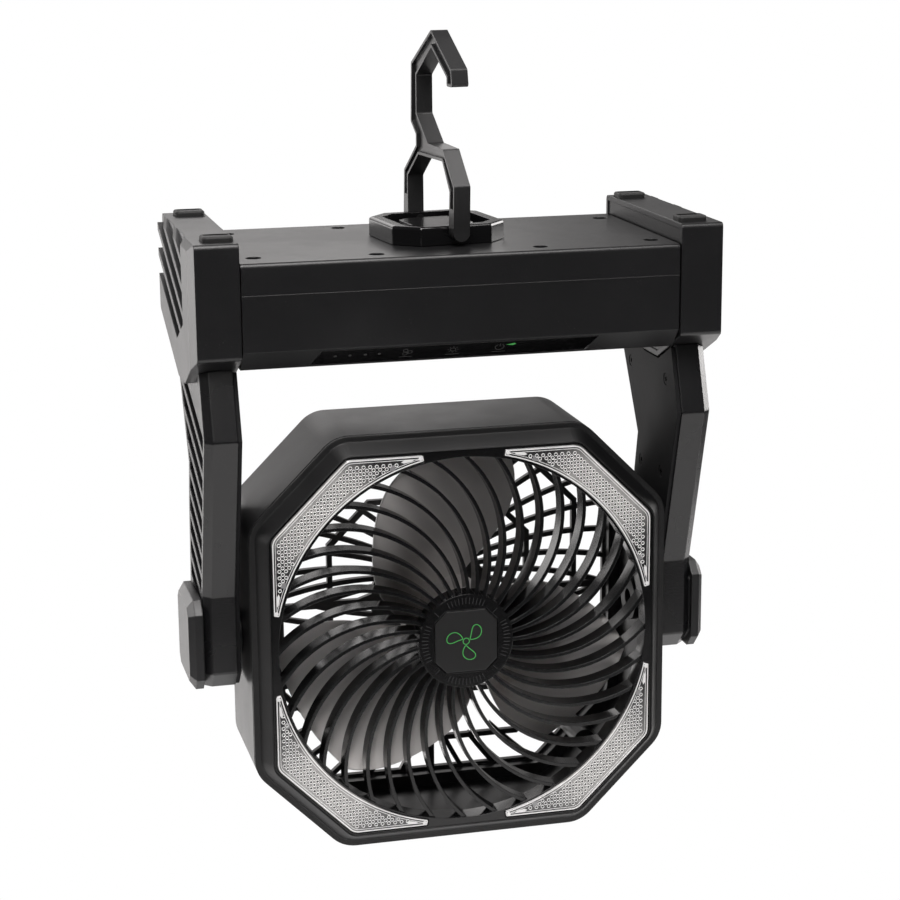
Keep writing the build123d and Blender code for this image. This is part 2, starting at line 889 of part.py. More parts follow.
with BuildPart() as right_arm:
    with BuildSketch(aside(arm_shell_face)):
        add(arm_outer)
    extrude(amount=arm_outside - arm_shell_face)
    add(arm_bevel.part, mode=Mode.INTERSECT)
    with BuildSketch(aside(arm_shell_face)):
        add(arm_profile(arm_wall))
    extrude(amount=arm_shell_floor - arm_shell_face, mode=Mode.SUBTRACT)
    with BuildSketch(aside(arm_shell_face)):
        with arm_spots:
            Circle(arm_screw_post)
    extrude(amount=arm_outside - slot_depth - arm_shell_face)
    with BuildSketch(aside(arm_shell_face)):
        with arm_spots:
            Circle(screw_bore)
    extrude(amount=arm_screw_bite + slide_gap, mode=Mode.SUBTRACT)
    with BuildSketch(aside(arm_outside)):
        with Locations((0, -slot_middle)):
            with GridLocations(0, slot_pitch, 1, slot_count):
                Rectangle(4 * cap_half_depth, slot_height, rotation=slot_angle)
        add(slot_field, mode=Mode.INTERSECT)
        with Locations((arm_chamfer, 0)):
            add(slot_field, mode=Mode.INTERSECT)
    extrude(amount=-slot_depth, mode=Mode.SUBTRACT)
    with BuildSketch(aside(plug_inside)):
        add(arm_plug(0))
    extrude(amount=plug_outside - plug_inside)

with BuildPart() as right_arm_cover:
    with BuildSketch(aside(arm_inside)):
        add(arm_profile(arm_cover_inset))
    extrude(amount=arm_cover)
    with BuildSketch(beside(arm_inside)):
        Circle(shaft_outer + pin_gap)
    extrude(amount=arm_cover, mode=Mode.SUBTRACT)
    with BuildSketch(aside(arm_inside)):
        with arm_spots:
            Circle(arm_screw_head + slide_gap)
    extrude(amount=arm_screw_sink, mode=Mode.SUBTRACT)
    with BuildSketch(aside(arm_inside)):
        with arm_spots:
            Circle(screw_bore)
    extrude(amount=arm_cover, mode=Mode.SUBTRACT)

flipped_spots = Locations(*[(-y, z) for y, z in arm_screw_spots])
arm_screw_length = arm_cover - arm_screw_sink + arm_screw_bite
arm_screw_size = (arm_screw_head, arm_screw_height)
with BuildPart() as right_arm_screws:
    seat = inward(arm_inside + arm_screw_sink)
    add(screws(seat, flipped_spots, arm_screw_length, arm_screw_size))

# ---- End caps and feet -----------------------------------------------------------------

cover_spots = Locations(*[
    (x * side, y * end)
    for x, y in ((outer_screw_x, outer_screw_y), (inner_screw_x, inner_screw_y))
    for side in (-1, 1)
    for end in (-1, 1)
])
cap_screw_spots = Locations(*[(y, -cap_screw_height) for y in (-cap_screw_reach, cap_screw_reach)])
groove_span = groove_front + 2 * cap_half_depth
foot_middle = cap_inside + foot_inset + foot_width / 2
base_corners = [
    (-base_half, -base_drop),
    (-base_half, -base_bottom + slope_size),
    (-base_half + slope_size, -base_bottom),
    (base_half - slope_size, -base_bottom),
    (base_half, -base_bottom + slope_size),
    (base_half, -base_drop),
]


def cap_profile(inset):
    """An end cap seen from the side, moved inwards."""
    with BuildSketch() as shape:
        add(outline(cap_corners, cap_round if inset == 0 else 0))
        if inset > 0:
            offset(amount=-inset, kind=Kind.INTERSECTION)
    return shape.sketch


def base_profile(inset):
    """The base seen from the side, moved inwards."""
    with BuildSketch() as shape:
        add(outline(base_corners))
        if inset > 0:
            offset(amount=-inset, kind=Kind.INTERSECTION)
        else:
            upper = shape.vertices().group_by(Axis.Y)[-1]
            fillet(upper, radius=base_round)
    return shape.sketch


def neck_profile(inset):
    """The part of the base that enters an end cap."""
    with BuildSketch() as shape:
        add(base_profile(neck_inset + inset))
        add(cap_profile(cap_rim + inset), mode=Mode.INTERSECT)
    return shape.sketch


def groove_field():
    """The slanted grooves in the side of an end cap."""
    with BuildSketch() as shape:
        for row in range(groove_count):
            low = -groove_low + row * groove_pitch
            high = low + groove_height
            rise = groove_span * groove_rise
            slant = [
                (-groove_front, low),
                (groove_span - groove_front, low + rise),
                (groove_span - groove_front, high + rise),
                (-groove_front, high),
            ]
            add(outline(slant))
        nose = [
            (-groove_front, groove_span),
            (-groove_front, -groove_nose_top),
            (-groove_nose_back, -groove_low + groove_rise * (groove_front - groove_nose_back)),
            (groove_span, -groove_low + groove_rise * (groove_front + groove_span)),
            (groove_span, groove_span),
        ]
        add(outline(nose), mode=Mode.INTERSECT)
    return shape.sketch


grooves = groove_field()
plug_pocket = arm_plug(slide_gap)

with BuildPart() as right_end_cap:
    with BuildSketch(aside(cap_inside)):
        add(cap_profile(0))
    extrude(amount=cap_outside - cap_inside)
    with BuildSketch(level(0)):
        add(outline([
            (cap_outside - cap_bevel, -cap_half_depth),
            (cap_outside, -cap_half_depth),
            (cap_outside, cap_bevel_front - cap_half_depth),
        ]))
    extrude(amount=-cap_tongue, mode=Mode.SUBTRACT)
    with BuildSketch(facing(-cap_half_depth)):
        add(outline([
            (cap_outside - cap_bevel, 0),
            (cap_outside, 0),
            (cap_outside, -cap_bevel_top),
        ]))
    extrude(amount=-2 * cap_half_depth, mode=Mode.SUBTRACT)
    with BuildSketch(aside(cap_outside)):
        add(grooves)
    extrude(amount=-groove_depth, mode=Mode.SUBTRACT)
    with BuildSketch(aside(cap_inside)):
        add(cap_profile(cap_lip))
    extrude(amount=cap_lip_depth, mode=Mode.SUBTRACT)
    with BuildSketch(aside(cap_inside)):
        add(neck_profile(-slide_gap))
    extrude(amount=pocket_depth, mode=Mode.SUBTRACT)
    with BuildSketch(aside(plug_inside - slide_gap)):
        add(plug_pocket)
    extrude(amount=plug_outside - plug_inside + 2 * slide_gap, mode=Mode.SUBTRACT)
    with BuildSketch(level(0)):
        with Locations((foot_middle, -foot_offset), (foot_middle, foot_offset)):
            RectangleRounded(foot_width, foot_length, foot_round)
    extrude(amount=-foot_seat, mode=Mode.SUBTRACT)
    with BuildSketch(aside(cap_inside)):
        with cap_screw_spots:
            Circle(screw_bore)
    extrude(amount=pocket_depth + screw_bite, mode=Mode.SUBTRACT)

with BuildPart() as rubber_feet:
    with BuildSketch(level(foot_seat)):
        with Locations(*[(x, y) for x in (foot_middle, -foot_middle) for y in (-foot_offset, foot_offset)]):
            RectangleRounded(foot_width - 2 * slide_gap, foot_length - 2 * slide_gap, foot_round)
    extrude(amount=foot_seat + foot_proud)
    chamfer(rubber_feet.faces().group_by(Axis.Z)[-1].edges(), length=foot_bevel)

# ---- Base ------------------------------------------------------------------------------

base_outer = base_profile(0)
base_inner = base_profile(base_wall)
recess_floor = base_drop + recess_depth
floor_drop = base_bottom - base_wall
cell_drop = floor_drop - tray_floor - cell_radius - slide_gap
row_pitch = 2 * cell_radius + cell_gap
tray_half_width = (cell_rows - 1) / 2 * row_pitch + cell_radius + tray_wall
tray_half_length = cell_length + cell_gap + tray_wall
socket_board_depth = base_half - socket_board_inset
socket_board_drop = socket_drop + socket_height / 2
tray_shift = socket_board_depth - socket_board_width / 2 - tray_gap - tray_half_width
board_front = base_half - board_inset
board_back = tray_half_width - tray_shift + board_gap
board_post_x = board_length / 2 - board_post_end
board_post_rows = (board_post_edge - board_front, -board_back - board_post_edge)
control_length = panel_width - 2 * control_inset
board_spots = Locations(*[(x, y) for x in (-board_post_x, board_post_x) for y in board_post_rows])
slope_middle = (
    axis_x,
    axis_y - base_half + slope_size / 2,
    datum_z - base_bottom + slope_size / 2,
)
slope_plane = Plane(slope_middle, x_dir=(1, 0, 0), z_dir=(0, -1, -1))


def panel_outline(play):
    """The control panel, both ends leaning the same way."""
    half = panel_width / 2
    lean = panel_lean / 2
    rise = panel_height / 2
    corners = [(half + lean, rise), (half - lean, -rise), (-half - lean, -rise), (-half + lean, rise)]
    with BuildSketch() as shape:
        with Locations((panel_shift, 0)):
            add(outline(corners))
        if play > 0:
            offset(amount=play, kind=Kind.INTERSECTION)
    return shape.sketch


with BuildPart() as base_body:
    with BuildSketch(aside(-base_end)):
        add(base_outer)
    extrude(amount=2 * base_end)
    with BuildSketch(aside(-neck_end)):
        add(neck_profile(0))
    extrude(amount=2 * neck_end)
    with BuildSketch(aside(base_wall - base_end)):
        add(base_inner)
    extrude(amount=2 * (base_end - base_wall), mode=Mode.SUBTRACT)
    with BuildSketch(aside(base_wall - neck_end)):
        add(neck_profile(base_wall))
    extrude(amount=2 * (neck_end - base_wall), mode=Mode.SUBTRACT)
    with BuildSketch(aside(-neck_end)):
        with cap_screw_spots:
            Circle(screw_bore)
    extrude(amount=2 * neck_end, mode=Mode.SUBTRACT)

with BuildPart() as base_cover:
    add(base_body.part)
    with BuildSketch(level(parting)):
        with cover_spots:
            Circle(boss_outer)
    extrude(amount=parting_drop - base_wall / 2)
    split(bisect_by=level(parting), keep=Keep.TOP)
    with BuildSketch(level(base_drop)):
        with cover_spots:
            Circle(recess_radius)
    extrude(amount=-recess_depth, mode=Mode.SUBTRACT)
    with BuildSketch(level(base_drop)):
        with cover_spots:
            Circle(screw_bore)
        Circle(hub_outer + turn_gap)
    extrude(amount=-parting_drop, mode=Mode.SUBTRACT)

with BuildPart() as base_housing:
    with BuildSketch(level(parting)):
        with cover_spots:
            Circle(boss_outer)
    extrude(amount=parting - base_bottom)
    with BuildSketch(aside(-base_end)):
        add(base_outer)
    extrude(amount=2 * base_end, mode=Mode.INTERSECT)
    add(base_body.part)
    split(bisect_by=level(parting), keep=Keep.BOTTOM)
    with BuildSketch(level(floor_drop)):
        with board_spots:
            Circle(board_post)
    extrude(amount=floor_drop - board_drop)
    with BuildSketch(level(floor_drop)):
        with Locations((socket_x, socket_board_depth)):
            with GridLocations(socket_post_spread, 1, 2, 1):
                Circle(socket_post)
    extrude(amount=floor_drop - socket_board_drop - board_thick)
    with BuildSketch(level(parting)):
        with cover_spots:
            Circle(screw_bore)
    extrude(amount=-screw_length, mode=Mode.SUBTRACT)
    with BuildSketch(level(board_drop)):
        with board_spots:
            Circle(screw_bore)
    extrude(amount=-board_screw_bite - slide_gap, mode=Mode.SUBTRACT)
    with BuildSketch(slope_plane):
        add(panel_outline(slide_gap))
    extrude(amount=-panel_thick, mode=Mode.SUBTRACT)
    with BuildSketch(facing(base_half)):
        with Locations((socket_x, -socket_drop)):
            RectangleRounded(
                socket_width + 2 * slide_gap, socket_height + 2 * slide_gap, socket_height / 2
            )
    extrude(amount=base_wall, mode=Mode.SUBTRACT)

with BuildPart() as base_screws:
    add(screws(level(recess_floor), cover_spots, parting - recess_floor + screw_bite))

with BuildPart() as cap_screws:
    cap_screw_length = base_wall + slide_gap + cap_screw_bite
    right_screws = screws(inward(neck_end - base_wall), cap_screw_spots, cap_screw_length)
    add(right_screws)
    mirror(right_screws, about=aside(0))

# ---- Controls and electronics ----------------------------------------------------------

with BuildPart() as control_panel:
    with BuildSketch(slope_plane):
        add(panel_outline(0))
    extrude(amount=-panel_thick)

with BuildPart() as control_board:
    with BuildSketch(slope_plane.offset(-base_wall)):
        with Locations((panel_shift, 0)):
            Rectangle(control_length, control_width)
    extrude(amount=-board_thick)
    with BuildSketch(level(parting)):
        with cover_spots:
            Circle(boss_outer + turn_gap)
    extrude(amount=parting - base_bottom, mode=Mode.SUBTRACT)

with BuildPart() as main_board:
    with BuildSketch(level(board_drop)):
        with Locations((0, -board_front)):
            Rectangle(board_length, board_front - board_back, align=(Align.CENTER, Align.MIN))
        with cover_spots:
            Circle(boss_outer + turn_gap, mode=Mode.SUBTRACT)
        with board_spots:
            Circle(screw_bore, mode=Mode.SUBTRACT)
    extrude(amount=board_thick)

with BuildPart() as board_screws:
    add(screws(level(board_drop - board_thick), board_spots, board_thick + board_screw_bite))

with BuildPart() as battery_cells:
    with BuildSketch(aside(-cell_length - cell_gap / 2)):
        with Locations((tray_shift, -cell_drop)):
            with GridLocations(row_pitch, 1, cell_rows, 1):
                Circle(cell_radius)
    extrude(amount=cell_length)
    with BuildSketch(aside(cell_gap / 2)):
        with Locations((tray_shift, -cell_drop)):
            with GridLocations(row_pitch, 1, cell_rows, 1):
                Circle(cell_radius)
    extrude(amount=cell_length)

with BuildPart() as battery_tray:
    with BuildSketch(level(floor_drop)):
        with Locations((0, tray_shift)):
            Rectangle(2 * tray_half_length, 2 * tray_half_width)
    extrude(amount=tray_height)
    with BuildSketch(aside(tray_wall - tray_half_length)):
        with Locations((tray_shift, -cell_drop)):
            with GridLocations(row_pitch, 1, cell_rows, 1):
                Circle(cell_radius + slide_gap)
    extrude(amount=2 * (tray_half_length - tray_wall), mode=Mode.SUBTRACT)

with BuildPart() as charge_socket:
    with BuildSketch(facing(base_half - socket_sink)):
        with Locations((socket_x, -socket_drop)):
            RectangleRounded(socket_width, socket_height, socket_height / 2 - pin_gap)
            offset(amount=-socket_skin, mode=Mode.SUBTRACT)
    extrude(amount=socket_length)
    with BuildSketch(facing(base_half - socket_sink - socket_length)):
        with Locations((socket_x, -socket_drop)):
            RectangleRounded(socket_width, socket_height, socket_height / 2 - pin_gap)
    extrude(amount=board_thick)

with BuildPart() as socket_board:
    with BuildSketch(level(socket_board_drop + board_thick)):
        with Locations((socket_x, socket_board_depth)):
            Rectangle(socket_board_length, socket_board_width)
    extrude(amount=board_thick)

# ---- Swivel ----------------------------------------------------------------------------

turn = radians(hook_turn)
hook_side = (cos(turn), sin(turn), 0)
hook_along = (-sin(turn), cos(turn), 0)
plate_bottom = base_drop - turn_gap
hinge_drop = base_drop - hinge_height
hub_drop = base_drop + base_wall + turn_gap


def turned(drop):
    """A horizontal plane that is turned with the hook."""
    return Plane(level(drop).origin, x_dir=hook_side, z_dir=(0, 0, 1))


def pin_plane(reach):
    """A plane square to the hinge line of the hook."""
    middle = level(hinge_drop).origin + Vector(*hook_along) * reach
    return Plane(middle, x_dir=hook_side, z_dir=hook_along)


with BuildPart() as swivel_plate:
    with BuildSketch(turned(plate_bottom)):
        add(octagon(plate_half, plate_cut, plate_corner))
    extrude(amount=plate_height)
    fillet(swivel_plate.faces().sort_by(Axis.Z)[-1].edges(), radius=plate_round)
    with BuildSketch(turned(plate_bottom - plate_floor)):
        add(octagon(plate_half - plate_wall, plate_cut - plate_wall * (2 - sqrt(2))))
    extrude(amount=plate_height, mode=Mode.SUBTRACT)
    with BuildSketch(turned(plate_bottom - plate_floor)):
        add(octagon(island_half, island_cut))
    with BuildSketch(turned(plate_bottom - plate_height + island_sink)):
        add(octagon(island_half - island_bevel, island_cut - island_bevel * (2 - sqrt(2))))
    loft(ruled=True)
    with BuildSketch(level(plate_bottom)):
        Circle(hub_outer)
    extrude(amount=plate_bottom - hub_drop)
    for end in (-1, 1):
        with BuildSketch(pin_plane(end * plate_half)):
            Circle(hinge_pin + pin_gap)
        extrude(amount=-end * plate_wall, mode=Mode.SUBTRACT)
    with BuildSketch(level(hub_drop)):
        Circle(screw_bore)
    extrude(amount=hub_bite, mode=Mode.SUBTRACT)

with BuildPart() as swivel_washer:
    with BuildSketch(level(hub_drop)):
        Circle(washer_radius)
        Circle(screw_bore, mode=Mode.SUBTRACT)
    extrude(amount=-washer_thick)

with BuildPart() as swivel_screw:
    low = Plane(level(hub_drop + washer_thick).origin, x_dir=(1, 0, 0), z_dir=(0, 0, -1))
    add(screws(low, Locations((0, 0)), washer_thick + hub_bite - slide_gap))

# ---- Hook ------------------------------------------------------------------------------

leg_in = plate_half + leg_gap
leg_out = leg_in + leg_width
pin_seat = leg_out - pin_skin
leg_end = -hinge_drop
hook_corners = [
    (leg_out, leg_end),
    (leg_out - fork_lean, fork_shoulder),
    (neck_side, neck_low),
    (neck_side, neck_high),
    (stem_outer, stem_foot),
    (stem_outer - stem_lean, stem_top),
    (seat_reach, seat_height + peak_rise),
    (tip_outer + tip_lean, stem_top),
    (tip_outer, tip_low),
    (tip_inner, tip_low),
    (tip_inner, tip_top),
    (seat_reach, seat_height),
    (stem_inner, stem_inner_top),
    (stem_inner, stem_inner_foot),
    (waist, waist_height),
    (-fork_top_reach, fork_back_top),
    (-leg_out - fork_back_swell, fork_back_shoulder),
    (-leg_out, leg_end),
    (-leg_in, leg_end),
    (-leg_in - fork_inner_swell, fork_inner_shoulder),
    (-fork_inner_front, fork_top),
    (fork_inner_back, fork_top),
    (leg_in, fork_front_shoulder),
    (leg_in, leg_end),
]


def hook_plane(side):
    """The plane of the hook, with depth and height as its two directions."""
    middle = level(0).origin + Vector(*hook_side) * side
    return Plane(middle, x_dir=hook_along, z_dir=hook_side)


with BuildPart() as hook:
    with BuildSketch(hook_plane(-hook_thick / 2)) as profile:
        add(outline(hook_corners))
        fillet(profile.vertices().sort_by(Axis.Y)[4:], radius=hook_round)
    extrude(amount=hook_thick)
    for start in (leg_in, -leg_out):
        with BuildSketch(pin_plane(start)):
            Circle(hook_thick / 2)
        extrude(amount=leg_width)
    for side in (-1, 1):
        with BuildSketch(hook_plane(side * hook_thick / 2)):
            add(outline(hook_corners))
            offset(amount=-hook_rim, kind=Kind.INTERSECTION)
            with Locations((0, leg_end)):
                Rectangle(4 * leg_out, 2 * leg_solid, mode=Mode.SUBTRACT)
        extrude(amount=-side * hook_groove, mode=Mode.SUBTRACT)
    with BuildSketch(pin_plane(-pin_seat)):
        Circle(hinge_pin + pin_gap)
    extrude(amount=2 * pin_seat, mode=Mode.SUBTRACT)

with BuildPart() as hook_pins:
    pin_start = plate_half - plate_wall
    for end in (-1, 1):
        with BuildSketch(pin_plane(end * pin_start)):
            Circle(hinge_pin)
        extrude(amount=end * (pin_seat - pin_end_gap - pin_start))

# ---- Left-hand copies and files --------------------------------------------------------

pieces = {
    "base_housing": base_housing.part,
    "base_cover": base_cover.part,
    "base_screws": base_screws.part,
    "cap_screws": cap_screws.part,
    "rubber_feet": rubber_feet.part,
    "control_panel": control_panel.part,
    "control_board": control_board.part,
    "main_board": main_board.part,
    "board_screws": board_screws.part,
    "battery_tray": battery_tray.part,
    "battery_cells": battery_cells.part,
    "charge_socket": charge_socket.part,
    "socket_board": socket_board.part,
    "swivel_plate": swivel_plate.part,
    "swivel_washer": swivel_washer.part,
    "swivel_screw": swivel_screw.part,
    "hook_pins": hook_pins.part,
    "hook": hook.part,
    "head_housing": head_housing.part,
    "front_bezel": front_bezel.part,
    "front_grille": front_grille.part,
    "hub_badge": hub_badge.part,
    "light_board": light_board.part,
    "rear_cover": rear_cover.part,
    "head_screws": head_screws.part,
    "motor": motor.part,
    "motor_screws": motor_screws.part,
    "impeller": impeller.part,
    "impeller_nut": impeller_nut.part,
    "motor_shaft": motor_shaft.part,
}
pieces.update(lenses)

paired = {
    "end_cap": right_end_cap.part,
    "arm": right_arm.part,
    "arm_cover": right_arm_cover.part,
    "arm_screws": right_arm_screws.part,
    "pivot_shaft": right_pivot_shaft.part,
    "pivot_nut": right_pivot_nut.part,
    "pivot_washer": right_pivot_washer.part,
    "pivot_cap": right_pivot_cap.part,
}
for name, right_piece in paired.items():
    with BuildPart() as left_copy:
        mirror(right_piece, about=aside(0))
    pieces["right_" + name] = right_piece
    pieces["left_" + name] = left_copy.part

for name, piece in pieces.items():
    piece.label = name
    export_step(piece, f"parts/{name}.step")
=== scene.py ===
import json
from math import cos, pi, radians, sin

import bmesh
import bpy
from bpy.props import FloatProperty, FloatVectorProperty, IntProperty, PointerProperty
from bpy.types import Operator, Panel, PropertyGroup
from mathutils import Matrix, Vector


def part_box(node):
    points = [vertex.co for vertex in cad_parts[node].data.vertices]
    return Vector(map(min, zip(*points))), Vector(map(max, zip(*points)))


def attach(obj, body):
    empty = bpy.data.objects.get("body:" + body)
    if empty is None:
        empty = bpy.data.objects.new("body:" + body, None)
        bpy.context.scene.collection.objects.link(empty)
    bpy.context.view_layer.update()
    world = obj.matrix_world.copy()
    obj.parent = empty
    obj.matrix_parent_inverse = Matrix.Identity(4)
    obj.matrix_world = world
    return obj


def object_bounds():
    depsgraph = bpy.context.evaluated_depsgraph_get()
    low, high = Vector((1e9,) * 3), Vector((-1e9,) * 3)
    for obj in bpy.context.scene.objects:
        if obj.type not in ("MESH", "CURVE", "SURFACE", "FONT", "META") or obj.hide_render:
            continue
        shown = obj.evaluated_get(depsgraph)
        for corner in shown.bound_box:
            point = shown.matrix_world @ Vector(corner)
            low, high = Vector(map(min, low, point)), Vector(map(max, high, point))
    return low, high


bl_info = {
    "name": "Camping Fan Finish",
    "version": (1, 0, 0),
    "blender": (4, 5, 0),
    "location": "View3D > Sidebar > Camping Fan",
    "description": "Moulded plastics, clear light lenses, marks and a studio for a hanging camping fan",
    "category": "Object",
}

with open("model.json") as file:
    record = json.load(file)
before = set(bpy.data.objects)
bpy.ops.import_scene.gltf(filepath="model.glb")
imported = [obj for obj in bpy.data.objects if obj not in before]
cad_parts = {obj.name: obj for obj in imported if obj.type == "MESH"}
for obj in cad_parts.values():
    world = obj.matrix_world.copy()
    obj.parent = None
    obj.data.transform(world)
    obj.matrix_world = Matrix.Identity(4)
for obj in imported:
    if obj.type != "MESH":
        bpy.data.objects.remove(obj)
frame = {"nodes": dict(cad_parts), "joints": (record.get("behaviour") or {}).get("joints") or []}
cad_box = [list(corner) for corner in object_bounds()]
nodes = frame["nodes"]
head_middle = next(Vector(joint["pos_m"]) for joint in frame["joints"] if joint["name"] == "head_tilt")
hub_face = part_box("hub_badge")[0].y
panel_low, panel_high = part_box("control_panel")

MM = 0.001
UP = Vector((0, 0, 1))

# Corners nearer than WELD are one corner, and faces within FLAT of a plane lie in it (metres).
WELD = 1e-6
FLAT = 1e-5

# The head's two directions as seen from the front, and the way out of its face.
HEAD_ACROSS = Vector((1, 0, 0))
HEAD_UP = Vector((0, 0, 1))
HEAD_OUT = Vector((0, -1, 0))


# ---- Settings --------------------------------------------------------------------------


class StudioSettings(PropertyGroup):
    """Camera, floor and lamps."""

    camera_place: FloatVectorProperty(
        name="Camera place", description="Where the camera stands, in the fan's own frame",
        subtype="TRANSLATION", unit="LENGTH", default=(-0.25604, -1.03158, 0.06683),
    )
    heading: FloatProperty(
        name="Heading", description="Turn of the camera to the right of straight back",
        subtype="ANGLE", default=radians(14.128),
    )
    tilt: FloatProperty(
        name="Tilt", description="How far the camera looks down", subtype="ANGLE",
        default=radians(13.678),
    )
    roll: FloatProperty(
        name="Roll", description="Turn of the picture about the line of sight", subtype="ANGLE",
        default=radians(-0.47),
    )
    focal_length: FloatProperty(
        name="Focal length", description="Lens of the camera in millimetres", default=90.72,
        min=20.0,
    )
    floor_drop: FloatProperty(
        name="Floor drop", description="Distance from the fan's lowest point down to the floor",
        unit="LENGTH", default=0.34, min=0.0,
    )
    floor_size: FloatProperty(
        name="Floor size", description="Side of the square floor", unit="LENGTH", default=2.2,
    )
    front_light: FloatProperty(
        name="Front light", description="Strength of the even light on the side that the fan faces",
        default=0.06, min=0.0,
    )
    back_light: FloatProperty(
        name="Back light", description="Strength of the even light low behind the fan",
        default=0.25, min=0.0,
    )
    sky_light: FloatProperty(
        name="Sky light", description="Strength of the even light high behind the fan", default=0.3,
        min=0.0,
    )
    backdrop: FloatVectorProperty(
        name="Backdrop", description="Colour of the floor and the backdrop", subtype="COLOR",
        default=(1.0, 1.0, 1.0), min=0.0, max=1.0,
    )


class PlasticSettings(PropertyGroup):
    """Colours and surface of the moulded pieces."""

    shell_colour: FloatVectorProperty(
        name="Shell colour", description="Black of the satin mouldings", subtype="COLOR",
        default=(0.006, 0.006, 0.0066), min=0.0, max=1.0,
    )
    shell_roughness: FloatProperty(
        name="Shell roughness", description="How dull the satin mouldings are", subtype="FACTOR",
        default=0.36, min=0.0, max=1.0,
    )
    sheen_roughness: FloatProperty(
        name="Bezel roughness", description="How dull the smoother front mouldings are",
        subtype="FACTOR", default=0.43, min=0.0, max=1.0,
    )
    grain_pitch: FloatProperty(
        name="Grain pitch", description="Size of the moulded grain", unit="LENGTH", default=0.0006,
        min=0.00005,
    )
    edge_radius: FloatProperty(
        name="Edge radius", description="Small rounding that every moulded edge shows",
        unit="LENGTH", default=0.0008, min=0.0,
    )
    foot_size: FloatVectorProperty(
        name="Foot size", description="Width and depth of a rubber foot", unit="LENGTH", size=2,
        default=(0.0141, 0.0106),
    )
    foot_rim: FloatProperty(
        name="Foot rim", description="Rubber left round the recess of a foot", unit="LENGTH",
        default=0.0014,
    )
    blade_colour: FloatVectorProperty(
        name="Blade colour", description="Grey of the impeller", subtype="COLOR",
        default=(0.62, 0.6, 0.59), min=0.0, max=1.0,
    )


class LensSettings(PropertyGroup):
    """The clear corner lenses."""

    dimple_pitch: FloatProperty(
        name="Dimple pitch",
        description="Distance across from one dimple of a lens to the next in its row",
        unit="LENGTH", default=0.0031, min=0.001,
    )
    dimple_height: FloatProperty(
        name="Dimple height", description="How far the ring round each dimple stands up",
        unit="LENGTH", default=0.0003, min=0.0001,
    )
    rim_width: FloatProperty(
        name="Rim width", description="Plain rim round the dimples", unit="LENGTH", default=0.0021,
        min=0.0,
    )
    bead_width: FloatProperty(
        name="Bead width", description="Width of the clear bead along the edge of a lens",
        unit="LENGTH", default=0.00055,
    )
    tip_clear: FloatProperty(
        name="Clear tip", description="Angle at each end of a lens that has no dimples",
        subtype="ANGLE", default=radians(8.0),
    )
    post_radius: FloatProperty(
        name="Post radius", description="Fixing post at each tip of a lens", unit="LENGTH",
        default=0.0009,
    )
    colour: FloatVectorProperty(
        name="Lens colour", description="Silvery white of the lenses over their lamps",
        subtype="COLOR", default=(0.36, 0.356, 0.348), min=0.0, max=1.0,
    )
    end_colour: FloatVectorProperty(
        name="Lens end colour", description="Grey of the lenses at their ends, away from the lamps",
        subtype="COLOR", default=(0.03, 0.03, 0.031), min=0.0, max=1.0,
    )


class MarkSettings(PropertyGroup):
    """Ticks, signs and screw drives."""

    tick_count: IntProperty(
        name="Ticks per side", description="Radial ticks on each of the hub's four sides",
        default=11, min=1,
    )
    tick_spread: FloatProperty(
        name="Tick spread", description="Angle that the ticks of one side take up", subtype="ANGLE",
        default=radians(50.0),
    )
    tick_inside: FloatProperty(
        name="Tick inside", description="Inner end of the ticks from the hub's middle",
        unit="LENGTH", default=0.0184,
    )
    tick_outside: FloatProperty(
        name="Tick outside", description="Outer end of the ticks from the hub's middle",
        unit="LENGTH", default=0.0215,
    )
    line_width: FloatProperty(
        name="Line width", description="Width of printed and engraved lines", unit="LENGTH",
        default=0.00035,
    )
    sign_size: FloatProperty(
        name="Sign size", description="Reach of the fan sign on the hub from its middle",
        unit="LENGTH", default=0.0096,
    )
    sign_green: FloatVectorProperty(
        name="Sign green", description="Green of the printed signs", subtype="COLOR",
        default=(0.05, 0.36, 0.07), min=0.0, max=1.0,
    )


# ---- Shared shader groups --------------------------------------------------------------

# Waves per metre of each pattern that doesn't follow the grain's own pitch.
CLOUD_WAVES = 26.0
PATCH_WAVES = 9.0
SPECK_WAVES = 520.0
SPECK_PATCH_WAVES = 60.0
TURNING_WAVES = 2600.0
LENS_WAVES = 340.0
PRINT_WAVES = 1800.0
TRACK_WAVES = 260.0
FLOOR_WAVES = 3.0

# The broad waves' rate beside the grain's, and how much of the grain's height each part makes.
BROAD_RATE = 0.4
PIT_HEIGHT = 0.6
FINE_HEIGHT = 0.4
BROAD_HEIGHT = 0.3


def new_group(name, inputs, outputs):
    """An empty shader group with named sockets, and its two end nodes."""
    group = bpy.data.node_groups.new(name, "ShaderNodeTree")
    for label, kind, default in inputs:
        socket = group.interface.new_socket(label, in_out="INPUT", socket_type=kind)
        socket.default_value = default
    for label, kind in outputs:
        group.interface.new_socket(label, in_out="OUTPUT", socket_type=kind)
    start = group.nodes.new("NodeGroupInput")
    end = group.nodes.new("NodeGroupOutput")
    return group, start, end


def math_node(tree, operation, first, second=None):
    """A math node whose inputs are sockets or plain values."""
    node = tree.nodes.new("ShaderNodeMath")
    node.operation = operation
    for index, value in enumerate((first, second)):
        if value is None:
            continue
        if isinstance(value, bpy.types.NodeSocket):
            tree.links.new(value, node.inputs[index])
        else:
            node.inputs[index].default_value = value
    return node.outputs[0]


def ramp(tree, value, low, high, out_low=0.0, out_high=1.0):
    """A smooth step of a value from one range to another."""
    node = tree.nodes.new("ShaderNodeMapRange")
    node.interpolation_type = "SMOOTHSTEP"
    tree.links.new(value, node.inputs["Value"])
    node.inputs["From Min"].default_value = low
    node.inputs["From Max"].default_value = high
    node.inputs["To Min"].default_value = out_low
    node.inputs["To Max"].default_value = out_high
    return node.outputs["Result"]


